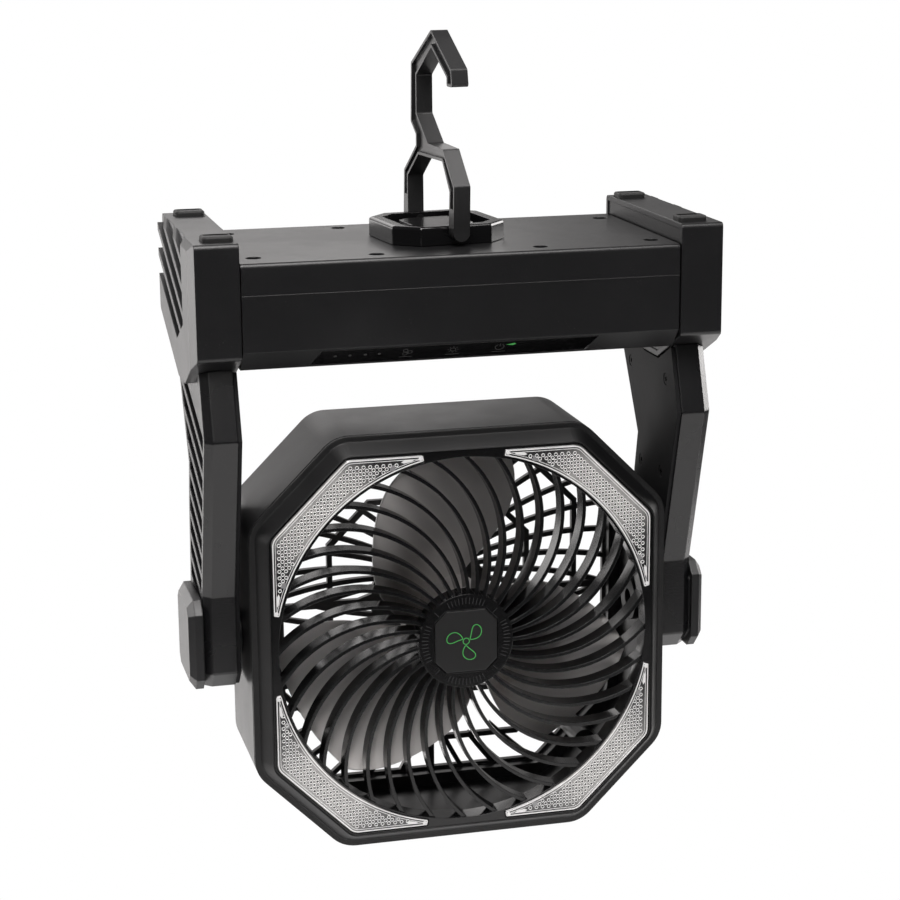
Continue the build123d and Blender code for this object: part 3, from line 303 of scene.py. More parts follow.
def noise(tree, place, scale, detail=2.0, roughness=0.5):
    """A noise texture at a number of waves per metre."""
    node = tree.nodes.new("ShaderNodeTexNoise")
    tree.links.new(place, node.inputs["Vector"])
    if isinstance(scale, bpy.types.NodeSocket):
        tree.links.new(scale, node.inputs["Scale"])
    else:
        node.inputs["Scale"].default_value = scale
    node.inputs["Detail"].default_value = detail
    node.inputs["Roughness"].default_value = roughness
    return node.outputs["Fac"]


def build_moulded_grain():
    """The fine pitted grain of a moulded surface, as a height."""
    group, start, end = new_group(
        "moulded_grain",
        [("Vector", "NodeSocketVector", (0, 0, 0)), ("Pitch", "NodeSocketFloat", 0.0006)],
        [("Height", "NodeSocketFloat")],
    )
    waves = math_node(group, "DIVIDE", 1.0, start.outputs["Pitch"])
    coarse = math_node(group, "MULTIPLY", waves, BROAD_RATE)
    cells = group.nodes.new("ShaderNodeTexVoronoi")
    cells.feature = "SMOOTH_F1"
    group.links.new(start.outputs["Vector"], cells.inputs["Vector"])
    group.links.new(waves, cells.inputs["Scale"])
    fine = noise(group, start.outputs["Vector"], waves, 3.0, 0.6)
    broad = noise(group, start.outputs["Vector"], coarse)
    pits = math_node(group, "MULTIPLY", cells.outputs["Distance"], PIT_HEIGHT)
    mixed = math_node(group, "ADD", pits, math_node(group, "MULTIPLY", fine, FINE_HEIGHT))
    height = math_node(group, "ADD", mixed, math_node(group, "MULTIPLY", broad, BROAD_HEIGHT))
    group.links.new(height, end.inputs["Height"])
    return group


def build_handling():
    """Uneven gloss from handling, and the faint mottle of a moulding, as masks from 0 to 1."""
    group, start, end = new_group(
        "handling",
        [("Vector", "NodeSocketVector", (0, 0, 0))],
        [("Smudge", "NodeSocketFloat"), ("Mottle", "NodeSocketFloat")],
    )
    clouds = noise(group, start.outputs["Vector"], CLOUD_WAVES, 3.0, 0.5)
    patches = noise(group, start.outputs["Vector"], PATCH_WAVES, 2.0, 0.5)
    both = math_node(group, "MULTIPLY", clouds, patches)
    group.links.new(ramp(group, both, 0.1, 0.45), end.inputs["Smudge"])
    group.links.new(ramp(group, patches, 0.3, 0.7), end.inputs["Mottle"])
    return group


def build_dust():
    """Fine pale specks that settle on a surface, as a mask."""
    group, start, end = new_group(
        "dust_specks",
        [("Vector", "NodeSocketVector", (0, 0, 0)), ("Amount", "NodeSocketFloat", 0.3)],
        [("Mask", "NodeSocketFloat")],
    )
    specks = group.nodes.new("ShaderNodeTexVoronoi")
    specks.inputs["Scale"].default_value = SPECK_WAVES
    group.links.new(start.outputs["Vector"], specks.inputs["Vector"])
    dots = ramp(group, specks.outputs["Distance"], 0.06, 0.16, 1.0, 0.0)
    patches = ramp(group, noise(group, start.outputs["Vector"], SPECK_PATCH_WAVES), 0.5, 0.75)
    thin = math_node(group, "MULTIPLY", dots, patches)
    group.links.new(math_node(group, "MULTIPLY", thin, start.outputs["Amount"]), end.inputs["Mask"])
    return group


def shared(name, build):
    """The shared group of that name, built the first time that it is asked for."""
    found = bpy.data.node_groups.get(name)
    return found if found else build()


def place_group(tree, name, build, place):
    """A shared group in a material, fed with the object's own coordinates."""
    node = tree.nodes.new("ShaderNodeGroup")
    node.node_tree = shared(name, build)
    tree.links.new(place, node.inputs["Vector"])
    return node


# ---- Materials -------------------------------------------------------------------------

DUST_COLOUR = (0.3, 0.29, 0.28)
PLASTIC_IOR = 1.5
LENS_IOR = 1.58
GRAIN_DEPTH = 0.25    # height of the grain in its own pitches
LENS_EDGE = 0.0003    # small rounding of a lens's edges

# How far off its own diagonal a lens starts to fade, and where its light has gone (metres).
LENS_LIT = 0.018
LENS_UNLIT = 0.047


def new_material(name):
    """A new material's node tree, its Principled shader and the object's coordinates."""
    material = bpy.data.materials.new(name)
    material.use_nodes = True
    tree = material.node_tree
    place = tree.nodes.new("ShaderNodeTexCoord").outputs["Object"]
    return tree, tree.nodes["Principled BSDF"], place


def mix_colour(tree, mask, first, second):
    """One colour where the mask is 0 and another where it is 1, each a socket or plain values."""
    node = tree.nodes.new("ShaderNodeMix")
    node.data_type = "RGBA"
    tree.links.new(mask, node.inputs["Factor"])
    for label, colour in (("A", first), ("B", second)):
        if isinstance(colour, bpy.types.NodeSocket):
            tree.links.new(colour, node.inputs[label])
        else:
            node.inputs[label].default_value = (*colour, 1.0)
    return node.outputs["Result"]


def handled_gloss(tree, shader, place, low, high):
    """Roughness that handling leaves uneven between two values, and the mask of the mottle."""
    handled = place_group(tree, "handling", build_handling, place)
    gloss = ramp(tree, handled.outputs["Smudge"], 0.0, 1.0, low, high)
    tree.links.new(gloss, shader.inputs["Roughness"])
    return handled.outputs["Mottle"]


def rounded_normal(tree, radius):
    """Normals that run smoothly round a moulded edge."""
    node = tree.nodes.new("ShaderNodeBevel")
    node.samples = 4
    node.inputs["Radius"].default_value = radius
    return node.outputs["Normal"]


def bump(tree, height, distance, strength, normal=None):
    """A bump from a height, over the rounded edges if they are given."""
    node = tree.nodes.new("ShaderNodeBump")
    node.inputs["Strength"].default_value = strength
    node.inputs["Distance"].default_value = distance
    tree.links.new(height, node.inputs["Height"])
    if normal is not None:
        tree.links.new(normal, node.inputs["Normal"])
    return node.outputs["Normal"]


def moulded_plastic(
    name, colour, roughness, pitch, edge, grain=0.3, dust=0.0, spread=0.04, shine=0.5, metallic=0.0
):
    """Moulded plastic with its grain, uneven gloss and small edge radius."""
    tree, shader, place = new_material(name)
    grain_node = place_group(tree, "moulded_grain", build_moulded_grain, place)
    grain_node.inputs["Pitch"].default_value = pitch
    mottle = handled_gloss(tree, shader, place, roughness - spread, roughness + spread)
    specks = place_group(tree, "dust_specks", build_dust, place)
    specks.inputs["Amount"].default_value = dust
    lighter = [channel * 1.15 + 0.0004 for channel in colour]
    tone = mix_colour(tree, mottle, colour, lighter)
    dusted = mix_colour(tree, specks.outputs["Mask"], tone, DUST_COLOUR)
    tree.links.new(dusted, shader.inputs["Base Color"])
    edges = rounded_normal(tree, edge)
    surface = bump(tree, grain_node.outputs["Height"], pitch * GRAIN_DEPTH, grain, edges)
    tree.links.new(surface, shader.inputs["Normal"])
    shader.inputs["IOR"].default_value = PLASTIC_IOR
    shader.inputs["Specular IOR Level"].default_value = shine
    shader.inputs["Metallic"].default_value = metallic


def brushed_metal(name, colour, roughness):
    """Bright metal with fine turning lines."""
    tree, shader, place = new_material(name)
    lines = noise(tree, place, TURNING_WAVES, 2.0, 0.7)
    shader.inputs["Metallic"].default_value = 1.0
    darker = [channel * 0.8 for channel in colour]
    tree.links.new(mix_colour(tree, lines, darker, colour), shader.inputs["Base Color"])
    handled_gloss(tree, shader, place, roughness - 0.06, roughness + 0.1)
    tree.links.new(bump(tree, lines, 0.02 * MM, 0.3), shader.inputs["Normal"])


def lens_plastic(name, colour, end_colour, roughness=0.12):
    """Clear plastic that is bright over its lamps and greyer towards its ends."""
    tree, shader, place = new_material(name)
    parts = tree.nodes.new("ShaderNodeSeparateXYZ")
    tree.links.new(place, parts.inputs["Vector"])

    def apart(first, second):
        return math_node(tree, "ABSOLUTE", math_node(tree, "SUBTRACT", first, second))

    across = apart(parts.outputs["X"], head_middle.x)
    up = apart(parts.outputs["Z"], head_middle.z)
    lit = ramp(tree, apart(across, up), LENS_LIT, LENS_UNLIT, 1.0, 0.0)
    uneven = ramp(tree, noise(tree, place, LENS_WAVES), 0.2, 0.75, 0.72, 1.0)
    mask = math_node(tree, "MULTIPLY", lit, uneven)
    tree.links.new(mix_colour(tree, mask, end_colour, colour), shader.inputs["Base Color"])
    handled_gloss(tree, shader, place, roughness - 0.04, roughness + 0.06)
    shader.inputs["IOR"].default_value = LENS_IOR
    shader.inputs["Coat Weight"].default_value = 1.0
    shader.inputs["Coat Roughness"].default_value = 0.05
    tree.links.new(rounded_normal(tree, LENS_EDGE), shader.inputs["Normal"])


def printed_mark(name, colour, painted_glow=0.0):
    """Printed marks, slightly uneven, that shine with a painted glow when one is given."""
    tree, shader, place = new_material(name)
    uneven = noise(tree, place, PRINT_WAVES)
    weaker = [channel * 0.7 for channel in colour]
    tone = mix_colour(tree, uneven, weaker, colour)
    tree.links.new(tone, shader.inputs["Base Color"])
    shader.inputs["Roughness"].default_value = 0.45
    # The glow is painted light: the mark shines on its own.
    if painted_glow > 0:
        tree.links.new(tone, shader.inputs["Emission Color"])
        shader.inputs["Emission Strength"].default_value = painted_glow


def circuit_board(name, colour):
    """Solder-masked board with faint tracks."""
    tree, shader, place = new_material(name)
    tracks = tree.nodes.new("ShaderNodeTexBrick")
    tracks.inputs["Scale"].default_value = TRACK_WAVES
    tracks.inputs["Mortar Size"].default_value = 0.03
    tree.links.new(place, tracks.inputs["Vector"])
    brighter = [min(1.0, channel * 1.6) for channel in colour]
    tone = mix_colour(tree, tracks.outputs["Fac"], colour, brighter)
    tree.links.new(tone, shader.inputs["Base Color"])
    shader.inputs["Roughness"].default_value = 0.35
    tree.links.new(bump(tree, tracks.outputs["Fac"], 0.03 * MM, 0.4), shader.inputs["Normal"])


def make_finishes(plastic, lens, marks):
    """Make every finish of the fan under its own name."""
    black = tuple(plastic.shell_colour)
    deep = [channel * 0.5 for channel in black]
    satin = plastic.shell_roughness

    def moulded(name, colour, roughness, rounding=1.0, pitch=plastic.grain_pitch, **surface):
        moulded_plastic(name, colour, roughness, pitch, rounding * plastic.edge_radius, **surface)

    moulded("satin_black", black, satin, grain=0.35, dust=0.12)
    moulded("shell_black", black, satin, 0.5, grain=0.35, dust=0.12)
    moulded("matt_black", black, 0.6, grain=0.4, dust=0.12, shine=0.15)
    moulded("grille_black", (0.003, 0.003, 0.0033), 0.17, 0.5, grain=0.1, dust=0.03)
    moulded("arm_black", black, 0.8 * satin, grain=0.3, dust=0.12)
    moulded("hook_black", (0.014, 0.014, 0.0145), satin, 0.6, grain=0.25, dust=0.08)
    moulded("smooth_black", deep, plastic.sheen_roughness, grain=0.12, dust=0.05, spread=0.05)
    moulded("gloss_black", deep, 0.12, grain=0.02, dust=0.05)
    moulded("blade_grey", tuple(plastic.blade_colour), 0.38, grain=0.1, metallic=0.5)
    moulded("rubber_black", (0.006, 0.006, 0.006), 0.62, pitch=0.0004, grain=0.4, dust=0.1)
    brushed_metal("screw_black", (0.06, 0.06, 0.062), 0.38)
    brushed_metal("screw_steel", (0.55, 0.55, 0.56), 0.3)
    brushed_metal("motor_can", (0.5, 0.49, 0.47), 0.4)
    lens_plastic("lens_clear", tuple(lens.colour), tuple(lens.end_colour))
    # The dimple rings are painted white as a highlight, and the dimples' pits dark as shade.
    lens_plastic("lens_dimple_highlight", (0.85, 0.845, 0.83), (0.75, 0.75, 0.75))
    lens_plastic("lens_pit_shade", (0.03, 0.0295, 0.029), (0.004, 0.004, 0.0042), 0.3)
    # The clear beads, ribs and posts are painted near white as a highlight.
    lens_plastic("lens_bead_highlight", (0.9, 0.9, 0.9), (0.75, 0.75, 0.75), 0.1)
    lens_plastic("lens_haze", (0.34, 0.34, 0.345), (0.22, 0.22, 0.225), 0.16)
    circuit_board("board_white", (0.55, 0.56, 0.55))
    circuit_board("board_green", (0.01, 0.09, 0.03))
    moulded("cell_wrap", (0.03, 0.09, 0.22), 0.3, grain=0.05)
    # The green signs shine with a painted glow.
    printed_mark("sign_green", tuple(marks.sign_green), 0.2)
    printed_mark("sign_pale", (0.035, 0.036, 0.035))
    moulded("tick_black", (0.02, 0.02, 0.021), 0.3, grain=0.1)
    # Painted shade for the recesses of the feet and the drives of the screws.
    moulded("recess_shade", (0.001, 0.001, 0.001), 0.6, grain=0.1, shine=0.0)


def paint(piece, name):
    """One finish all over a piece, out of those that the shell step made."""
    piece.data.materials.clear()
    piece.data.materials.append(bpy.data.materials[name])


NODE_FINISHES = {
    "shell_black": ("base_cover", "base_housing"),
    "matt_black": ("left_arm_cover", "right_arm_cover", "left_arm_screws", "right_arm_screws"),
    "arm_black": ("left_arm", "right_arm"),
    "hook_black": ("hook",),
    "grille_black": ("front_grille", "swivel_plate"),
    "smooth_black": ("front_bezel", "hub_badge"),
    "gloss_black": ("control_panel",),
    "blade_grey": ("impeller",),
    "rubber_black": ("rubber_feet",),
    "screw_black": ("base_screws", "head_screws", "motor_screws", "hook_pins"),
    "screw_steel": (
        "cap_screws", "board_screws", "swivel_screw", "swivel_washer", "charge_socket",
        "motor_shaft", "impeller_nut", "left_pivot_nut", "right_pivot_nut",
    ),
    "motor_can": ("motor",),
    "lens_clear": ("left_upper_lens", "right_upper_lens", "left_lower_lens", "right_lower_lens"),
    "board_white": ("light_board",),
    "board_green": ("main_board", "control_board", "socket_board"),
    "cell_wrap": ("battery_cells",),
}


# ---- Meshes ----------------------------------------------------------------------------

RECESS_HEIGHT = 0.02    # how far a dark shape of painted shade that stands for a recess rises, in mm


def link(name, data):
    """A new object in the scene that shows the data."""
    made = bpy.data.objects.new(name, data)
    bpy.context.scene.collection.objects.link(made)
    return made


def welded(node):
    """A working copy of a node's mesh with its shared corners joined."""
    mesh = bmesh.new()
    mesh.from_mesh(node.data)
    bmesh.ops.remove_doubles(mesh, verts=mesh.verts, dist=WELD)
    return mesh


def add_piece(name, mesh, body, finish, slot, *more):
    """A finished piece that rides on a body, with any further finishes that its faces name."""
    data = bpy.data.meshes.new(name)
    for label in (finish, *more):
        data.materials.append(bpy.data.materials[label])
    bmesh.ops.recalc_face_normals(mesh, faces=mesh.faces)
    mesh.normal_update()
    mesh.to_mesh(data)
    mesh.free()
    piece = link(name, data)
    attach(piece, body)
    return piece


def raise_outline(mesh, corners, out, height):
    """A thin plate from its outline, standing up along a direction."""
    base = [mesh.verts.new(corner) for corner in corners]
    top = [mesh.verts.new(Vector(corner) + out * height) for corner in corners]
    count = len(corners)
    mesh.faces.new(top)
    mesh.faces.new(base[::-1])
    for index in range(count):
        after = (index + 1) % count
        mesh.faces.new((base[index], base[after], top[after], top[index]))


def raise_line(mesh, points, width, across, up, origin, height, closed=False):
    """A raised line of even width through flat points, as one band."""
    out = across.cross(up)
    count = len(points)
    rows = []
    for index, point in enumerate(points):
        before = points[index - 1] if index > 0 or closed else point
        after = points[(index + 1) % count] if index < count - 1 or closed else point
        run = Vector((after[0] - before[0], after[1] - before[1])).normalized()
        side = Vector((-run.y, run.x)) * width / 2
        row = []
        for sign, lift in ((1, 0), (1, height), (-1, height), (-1, 0)):
            flat = Vector(point) + side * sign
            row.append(mesh.verts.new(origin + across * flat.x + up * flat.y + out * lift))
        rows.append(row)
    spans = count if closed else count - 1
    for index in range(spans):
        here, there = rows[index], rows[(index + 1) % count]
        for edge in range(4):
            mesh.faces.new((here[edge], there[edge], there[(edge + 1) % 4], here[(edge + 1) % 4]))
    if not closed:
        mesh.faces.new(rows[0])
        mesh.faces.new(rows[-1][::-1])


def ring_points(radius, count, middle=(0.0, 0.0), start=0.0, sweep=2 * pi):
    """Points round a circle or an arc."""
    closed = abs(sweep - 2 * pi) < 1e-6
    steps = count if closed else count - 1
    turns = [start + sweep * index / steps for index in range(count)]
    return [(middle[0] + radius * cos(turn), middle[1] + radius * sin(turn)) for turn in turns]


def on_head(across, up, depth):
    """A point of the head by its place on the face and its depth along Y."""
    return Vector((head_middle.x + across, depth, head_middle.z + up))


# ---- Operators -------------------------------------------------------------------------


class FAN_OT_shells(Operator):
    """Make every finish and give each moulded piece its own"""

    bl_idname = "fan.shells"
    bl_label = "Moulded shells"

    def execute(self, context):
        scene = context.scene
        make_finishes(scene.fan_plastic, scene.fan_lens, scene.fan_marks)
        chosen = {node: finish for finish, group in NODE_FINISHES.items() for node in group}
        for name, node in nodes.items():
            paint(node, chosen.get(name, "satin_black"))
        return {"FINISHED"}


def front_outline(node):
    """The front face of a lens as a closed loop of points on the head's face."""
    mesh = welded(node)
    front = min(vertex.co.y for vertex in mesh.verts)
    flat = {face for face in mesh.faces if all(v.co.y < front + FLAT for v in face.verts)}
    rim = [edge for edge in mesh.edges if sum(face in flat for face in edge.link_faces) == 1]
    follow = {}
    for edge in rim:
        first, second = edge.verts
        follow.setdefault(first.index, []).append(second)
        follow.setdefault(second.index, []).append(first)
    start = rim[0].verts[0]
    loop = [start]
    before, here = None, start
    while True:
        options = [v for v in follow[here.index] if v is not before]
        before, here = here, options[0]
        if here is start:
            break
        loop.append(here)
    points = [(v.co.x - head_middle.x, v.co.z - head_middle.z) for v in loop]
    mesh.free()
    return points, front


def inside_by(point, loop):
    """How far a point lies inside a loop, or a negative number outside it."""
    inside = False
    nearest = float("inf")
    px, py = point
    for index, (ax, ay) in enumerate(loop):
        bx, by = loop[(index + 1) % len(loop)]
        if (ay > py) != (by > py) and px < (bx - ax) * (py - ay) / (by - ay) + ax:
            inside = not inside
        run = Vector((bx - ax, by - ay))
        there = Vector((px - ax, py - ay))
        along = max(0.0, min(1.0, there.dot(run) / max(run.length_squared, 1e-18)))
        gap = (there - run * along).length
        nearest = min(nearest, gap)
    return nearest if inside else -nearest


def inset_loop(loop, amount):
    """A closed loop moved inwards by an amount, point by point."""
    area = sum(a[0] * b[1] - b[0] * a[1] for a, b in zip(loop, loop[1:] + loop[:1]))
    turn = 1 if area > 0 else -1
    moved = []
    for index, point in enumerate(loop):
        before = Vector(loop[index - 1])
        after = Vector(loop[(index + 1) % len(loop)])
        run = (after - before).normalized()
        moved.append((point[0] - run.y * amount * turn, point[1] + run.x * amount * turn))
    return moved


# Each dimple as rings: radius in dimple pitches, and lift in dimple heights.
DIMPLE_RINGS = ((0.325, 0.0), (0.27, 1.0), (0.185, 0.25))
DIMPLE_SIDES = 7
LENS_HALF_SPAN = radians(33)    # half the angle that the dimples of a lens may take up

# Each bead of a lens: inset and width in bead widths, and height in mm.
BEADS = ((0.6, 1.0, 0.16), (2.6, 0.5, 0.1))

# Back from a lens's tip, in mm: the post, both ends of the rib, and the clip.
TIP_PLACES = (1.6, 4.0, 9.0, 13.5)
POST_HEIGHT = 0.3
RIB_HEIGHT = 0.25
RIB_HALF = 0.55       # half width at the end near the tip
RIB_SWELL = 1.3       # how much wider the far end is
RIB_POINTS = (1.2, 1.4)    # length of the rib's two pointed ends
CLIP_HALF = 1.3
CLIP_HEIGHT = 0.14

# Steps that feel for a lens's two edges, in mm, and how many go each way.
PROBE_STEP = 0.15
PROBE_COUNT = 60


class FAN_OT_lenses(Operator):
    """Add the dimples, beads, ribs and fixing posts of the four corner lenses"""

    bl_idname = "fan.lenses"
    bl_label = "Corner lenses"

    def execute(self, context):
        settings = context.scene.fan_lens
        for name in NODE_FINISHES["lens_clear"]:
            loop, front = front_outline(nodes[name])
            middle = sum((Vector(point) for point in loop), Vector((0.0, 0.0)))
            outward = middle.normalized()
            self.add_dimples(name, loop, front, outward, settings)
            self.add_beads(name, loop, front, settings)
            self.add_tips(name, loop, front, outward, settings)
        return {"FINISHED"}

    def add_dimples(self, name, loop, front, outward, settings):
        """Staggered rows of small rings, each round a pit, over the lit part of the lens; the rings
        carry a painted highlight and the pits a painted shade.
        """
        pitch = settings.dimple_pitch
        low = [min(point[i] for point in loop) for i in range(2)]
        high = [max(point[i] for point in loop) for i in range(2)]
        rows = int((high[1] - low[1]) / (pitch / 2)) + 1
        columns = int((high[0] - low[0]) / pitch) + 1
        mesh = bmesh.new()
        for row in range(rows):
            for column in range(columns + 1):
                across = (column + 0.5 * (row % 2)) * pitch
                middle = Vector((low[0] + across, low[1] + row * pitch / 2))
                turned = abs(outward.angle(middle))
                if turned > LENS_HALF_SPAN - settings.tip_clear / 2:
                    continue
                if inside_by(middle, loop) < settings.rim_width:
                    continue
                self.add_dimple(mesh, middle, front, pitch, settings.dimple_height)
        add_piece(name + "_dimples", mesh, "head", "lens_dimple_highlight", "clear_lens", "lens_pit_shade")

    def add_dimple(self, mesh, middle, front, pitch, height):
        """One ring with sloped sides, painted bright as a highlight, round a dark pit of painted shade.
        """
        rings = []
        for radius, lift in DIMPLE_RINGS:
            points = ring_points(radius * pitch, DIMPLE_SIDES, (middle.x, middle.y))
            rings.append([mesh.verts.new(on_head(x, z, front - lift * height)) for x, z in points])
        for outer, inner in zip(rings, rings[1:]):
            for index in range(DIMPLE_SIDES):
                after = (index + 1) % DIMPLE_SIDES
                mesh.faces.new((outer[index], outer[after], inner[after], inner[index]))
        # The pit's face takes the painted shade.
        mesh.faces.new(rings[-1]).material_index = 1

    def add_beads(self, name, loop, front, settings):
        """A bead round the lens, and a finer one that follows it inside, both painted bright as a
        highlight.
        """
        mesh = bmesh.new()
        width = settings.bead_width
        for inset, share, lift in BEADS:
            raise_line(
                mesh, inset_loop(loop, width * inset), width * share, HEAD_ACROSS, HEAD_UP,
                on_head(0, 0, front), lift * MM, closed=True,
            )
        add_piece(name + "_beads", mesh, "head", "lens_bead_highlight", "clear_lens")

    def add_tips(self, name, loop, front, outward, settings):
        """At each tip a hazy clip, a long clear rib and a fixing post; the rib and the post are painted
        bright as a highlight.
        """
        sideways = Vector((-outward.y, outward.x))
        ribs = bmesh.new()
        clips = bmesh.new()
        for side in (-1, 1):
            tip = Vector(max(loop, key=lambda point: Vector(point).dot(sideways) * side))
            away = sideways * side
            line = [self.centre(loop, tip, outward, away, back * MM) for back in TIP_PLACES]
            post, near, far, clip = line
            rim = ring_points(settings.post_radius, 18, (post.x, post.y))
            self.raise_shape(ribs, rim, front, POST_HEIGHT)
            along = (far - near).normalized()
            square = Vector((-along.y, along.x))
            half = square * RIB_HALF * MM
            start = near + along * RIB_POINTS[0] * MM
            end = far - along * RIB_POINTS[1] * MM
            wide = half * RIB_SWELL
            rib = (near, start + half, end + wide, far, end - wide, start - half)
            self.raise_shape(ribs, rib, front, RIB_HEIGHT)
            corners = [(u * CLIP_HALF, v * CLIP_HALF) for u, v in ((-1, -1), (1, -1), (1, 1), (-1, 1))]
            block = [clip + along * u * MM + square * v * MM for u, v in corners]
            self.raise_shape(clips, block, front, CLIP_HEIGHT)
        add_piece(name + "_ribs", ribs, "head", "lens_bead_highlight", "clear_lens")
        add_piece(name + "_clips", clips, "head", "lens_haze", "clear_lens")

    def raise_shape(self, mesh, spots, front, height):
        """A flat shape that stands a height in mm on a lens's face."""
        raise_outline(mesh, [on_head(x, z, front) for x, z in spots], HEAD_OUT, height * MM)

    def centre(self, loop, tip, outward, away, back):
        """The middle of the lens at a distance back from its tip."""
        start = tip - away * back
        steps = range(-PROBE_COUNT, PROBE_COUNT + 1)
        spots = [start + outward * step * PROBE_STEP * MM for step in steps]
        inside = [spot for spot in spots if inside_by(spot, loop) > 0]
        return (inside[0] + inside[-1]) / 2


SLOT_DEPTH = 0.3      # half depth of a foot's slot, in half depths of the foot
SLOT_ROUND = 0.8      # rounding of its corners, in half depths of the slot
SLOT_SHIFT = 0.45     # how far it lies behind the foot's middle, in half depths of the foot


class FAN_OT_foot_recesses(Operator):
    """Add a dark shape of painted shade for the recess in the top of each rubber foot"""

    bl_idname = "fan.foot_recesses"
    bl_label = "Foot recesses"

    def execute(self, context):
        plastic = context.scene.fan_plastic
        low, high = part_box("rubber_feet")
        mesh = bmesh.new()
        half_x, half_y = (side / 2 for side in plastic.foot_size)
        reach = half_x - plastic.foot_rim
        deep = half_y * SLOT_DEPTH
        corner = deep * SLOT_ROUND
        for x in (low.x + half_x, high.x - half_x):
            for y in (low.y + half_y * (1 + SLOT_SHIFT), high.y - half_y * (1 - SLOT_SHIFT)):
                rim = []
                for side, start in (((1, -1), -90), ((1, 1), 0), ((-1, 1), 90), ((-1, -1), 180)):
                    middle = (x + side[0] * (reach - corner), y + side[1] * (deep - corner))
                    rim += ring_points(corner, 7, middle, radians(start), radians(90))
                corners = [Vector((u, v, high.z)) for u, v in rim]
                raise_outline(mesh, corners, UP, RECESS_HEIGHT * MM)
        # A flat dark shape: painted shade where the recess is.
        add_piece("foot_recesses", mesh, "base", "recess_shade", "feet_rubber")
        return {"FINISHED"}


TICK_HEIGHT = 0.06    # these heights are in mm
SIGN_HEIGHT = 0.04

# The fan sign on the hub, with its lengths in sign sizes.
SIGN_STEPS = 28
SIGN_TURN = radians(20)
BLADE_MIDDLE = 0.61
BLADE_HALF = 0.39
BLADE_SWELL = 0.42
BLADE_SWEEP = 0.5
SIGN_RING = 0.16


class FAN_OT_hub_marks(Operator):
    """Add the ticks round the hub and the plain fan sign in its middle"""

    bl_idname = "fan.hub_marks"
    bl_label = "Hub marks"

    def execute(self, context):
        marks = context.scene.fan_marks
        mesh = bmesh.new()
        for side in range(4):
            for index in range(marks.tick_count):
                share = index / (marks.tick_count - 1) - 0.5
                self.add_tick(mesh, side * pi / 2 + marks.tick_spread * share, marks)
        for corner in range(4):
            self.add_tick(mesh, radians(45 + 90 * corner), marks)
        add_piece("hub_ticks", mesh, "head", "tick_black", "black_shell")
        self.add_sign(marks)
        return {"FINISHED"}

    def add_line(self, mesh, points, marks, height, closed=False):
        """One line of even width on the hub's face."""
        origin = on_head(0, 0, hub_face)
        raise_line(mesh, points, marks.line_width, HEAD_ACROSS, HEAD_UP, origin, height * MM, closed)

    def add_tick(self, mesh, angle, marks):
        """One short radial bar."""
        ends = [(r * cos(angle), r * sin(angle)) for r in (marks.tick_inside, marks.tick_outside)]
        self.add_line(mesh, ends, marks, TICK_HEIGHT)

    def add_sign(self, marks):
        """Three rounded blades and a middle ring, drawn in thin lines."""
        mesh = bmesh.new()
        size = marks.sign_size
        for blade in range(3):
            turn = blade * 2 * pi / 3 + SIGN_TURN
            points = []
            for index in range(SIGN_STEPS):
                share = 2 * pi * index / SIGN_STEPS
                radius = size * (BLADE_MIDDLE + BLADE_HALF * cos(share))
                bend = BLADE_SWELL * sin(share) + BLADE_SWEEP * radius / size
                points.append((radius * cos(turn + bend), radius * sin(turn + bend)))
            self.add_line(mesh, points, marks, SIGN_HEIGHT, closed=True)
        self.add_line(mesh, ring_points(size * SIGN_RING, 24), marks, SIGN_HEIGHT, closed=True)
        # The sign's green shines with a painted glow.
        add_piece("hub_sign", mesh, "head", "sign_green", "black_shell")


# The control panel's directions: up its slope, and out of its face.
PANEL_UP = Vector((0, -1, 1)).normalized()
PANEL_OUT = HEAD_ACROSS.cross(PANEL_UP)

# Places across the panel and up its slope, and sizes, in mm.
PRINT_HEIGHT = 0.03
INDICATOR_PLACES = (-60.0, -53.2, -46.1, -39.6)
INDICATOR_UP = 0.5
INDICATOR_RADIUS = 0.75
KEY_PLACES = (-26.8, -5.1, 17.0)
KEY_UP = 0.6
KEY_SIZE = 2.6
KEY_BAR_HALF = 3.2
KEY_BAR_DROP = 3.6
LIT_PLACE = (22.4, 2.4)
LIT_OUTLINE = ((-2.6, -0.2), (1.2, 0.9), (2.2, 0.0), (0.6, -0.9))

# Parts of the three key signs, in key sizes.
FAN_BLADE_OUT = 0.55
FAN_BLADE_RADIUS = 0.42
FAN_BLADE_TURN = 2.094    # a third of a turn
LAMP_RADIUS = 0.5
LAMP_RAYS = (0.72, 1.0)
SWITCH_RADIUS = 0.8
SWITCH_START = radians(120)
SWITCH_SWEEP = radians(300)
SWITCH_BAR = (0.2, 1.0)


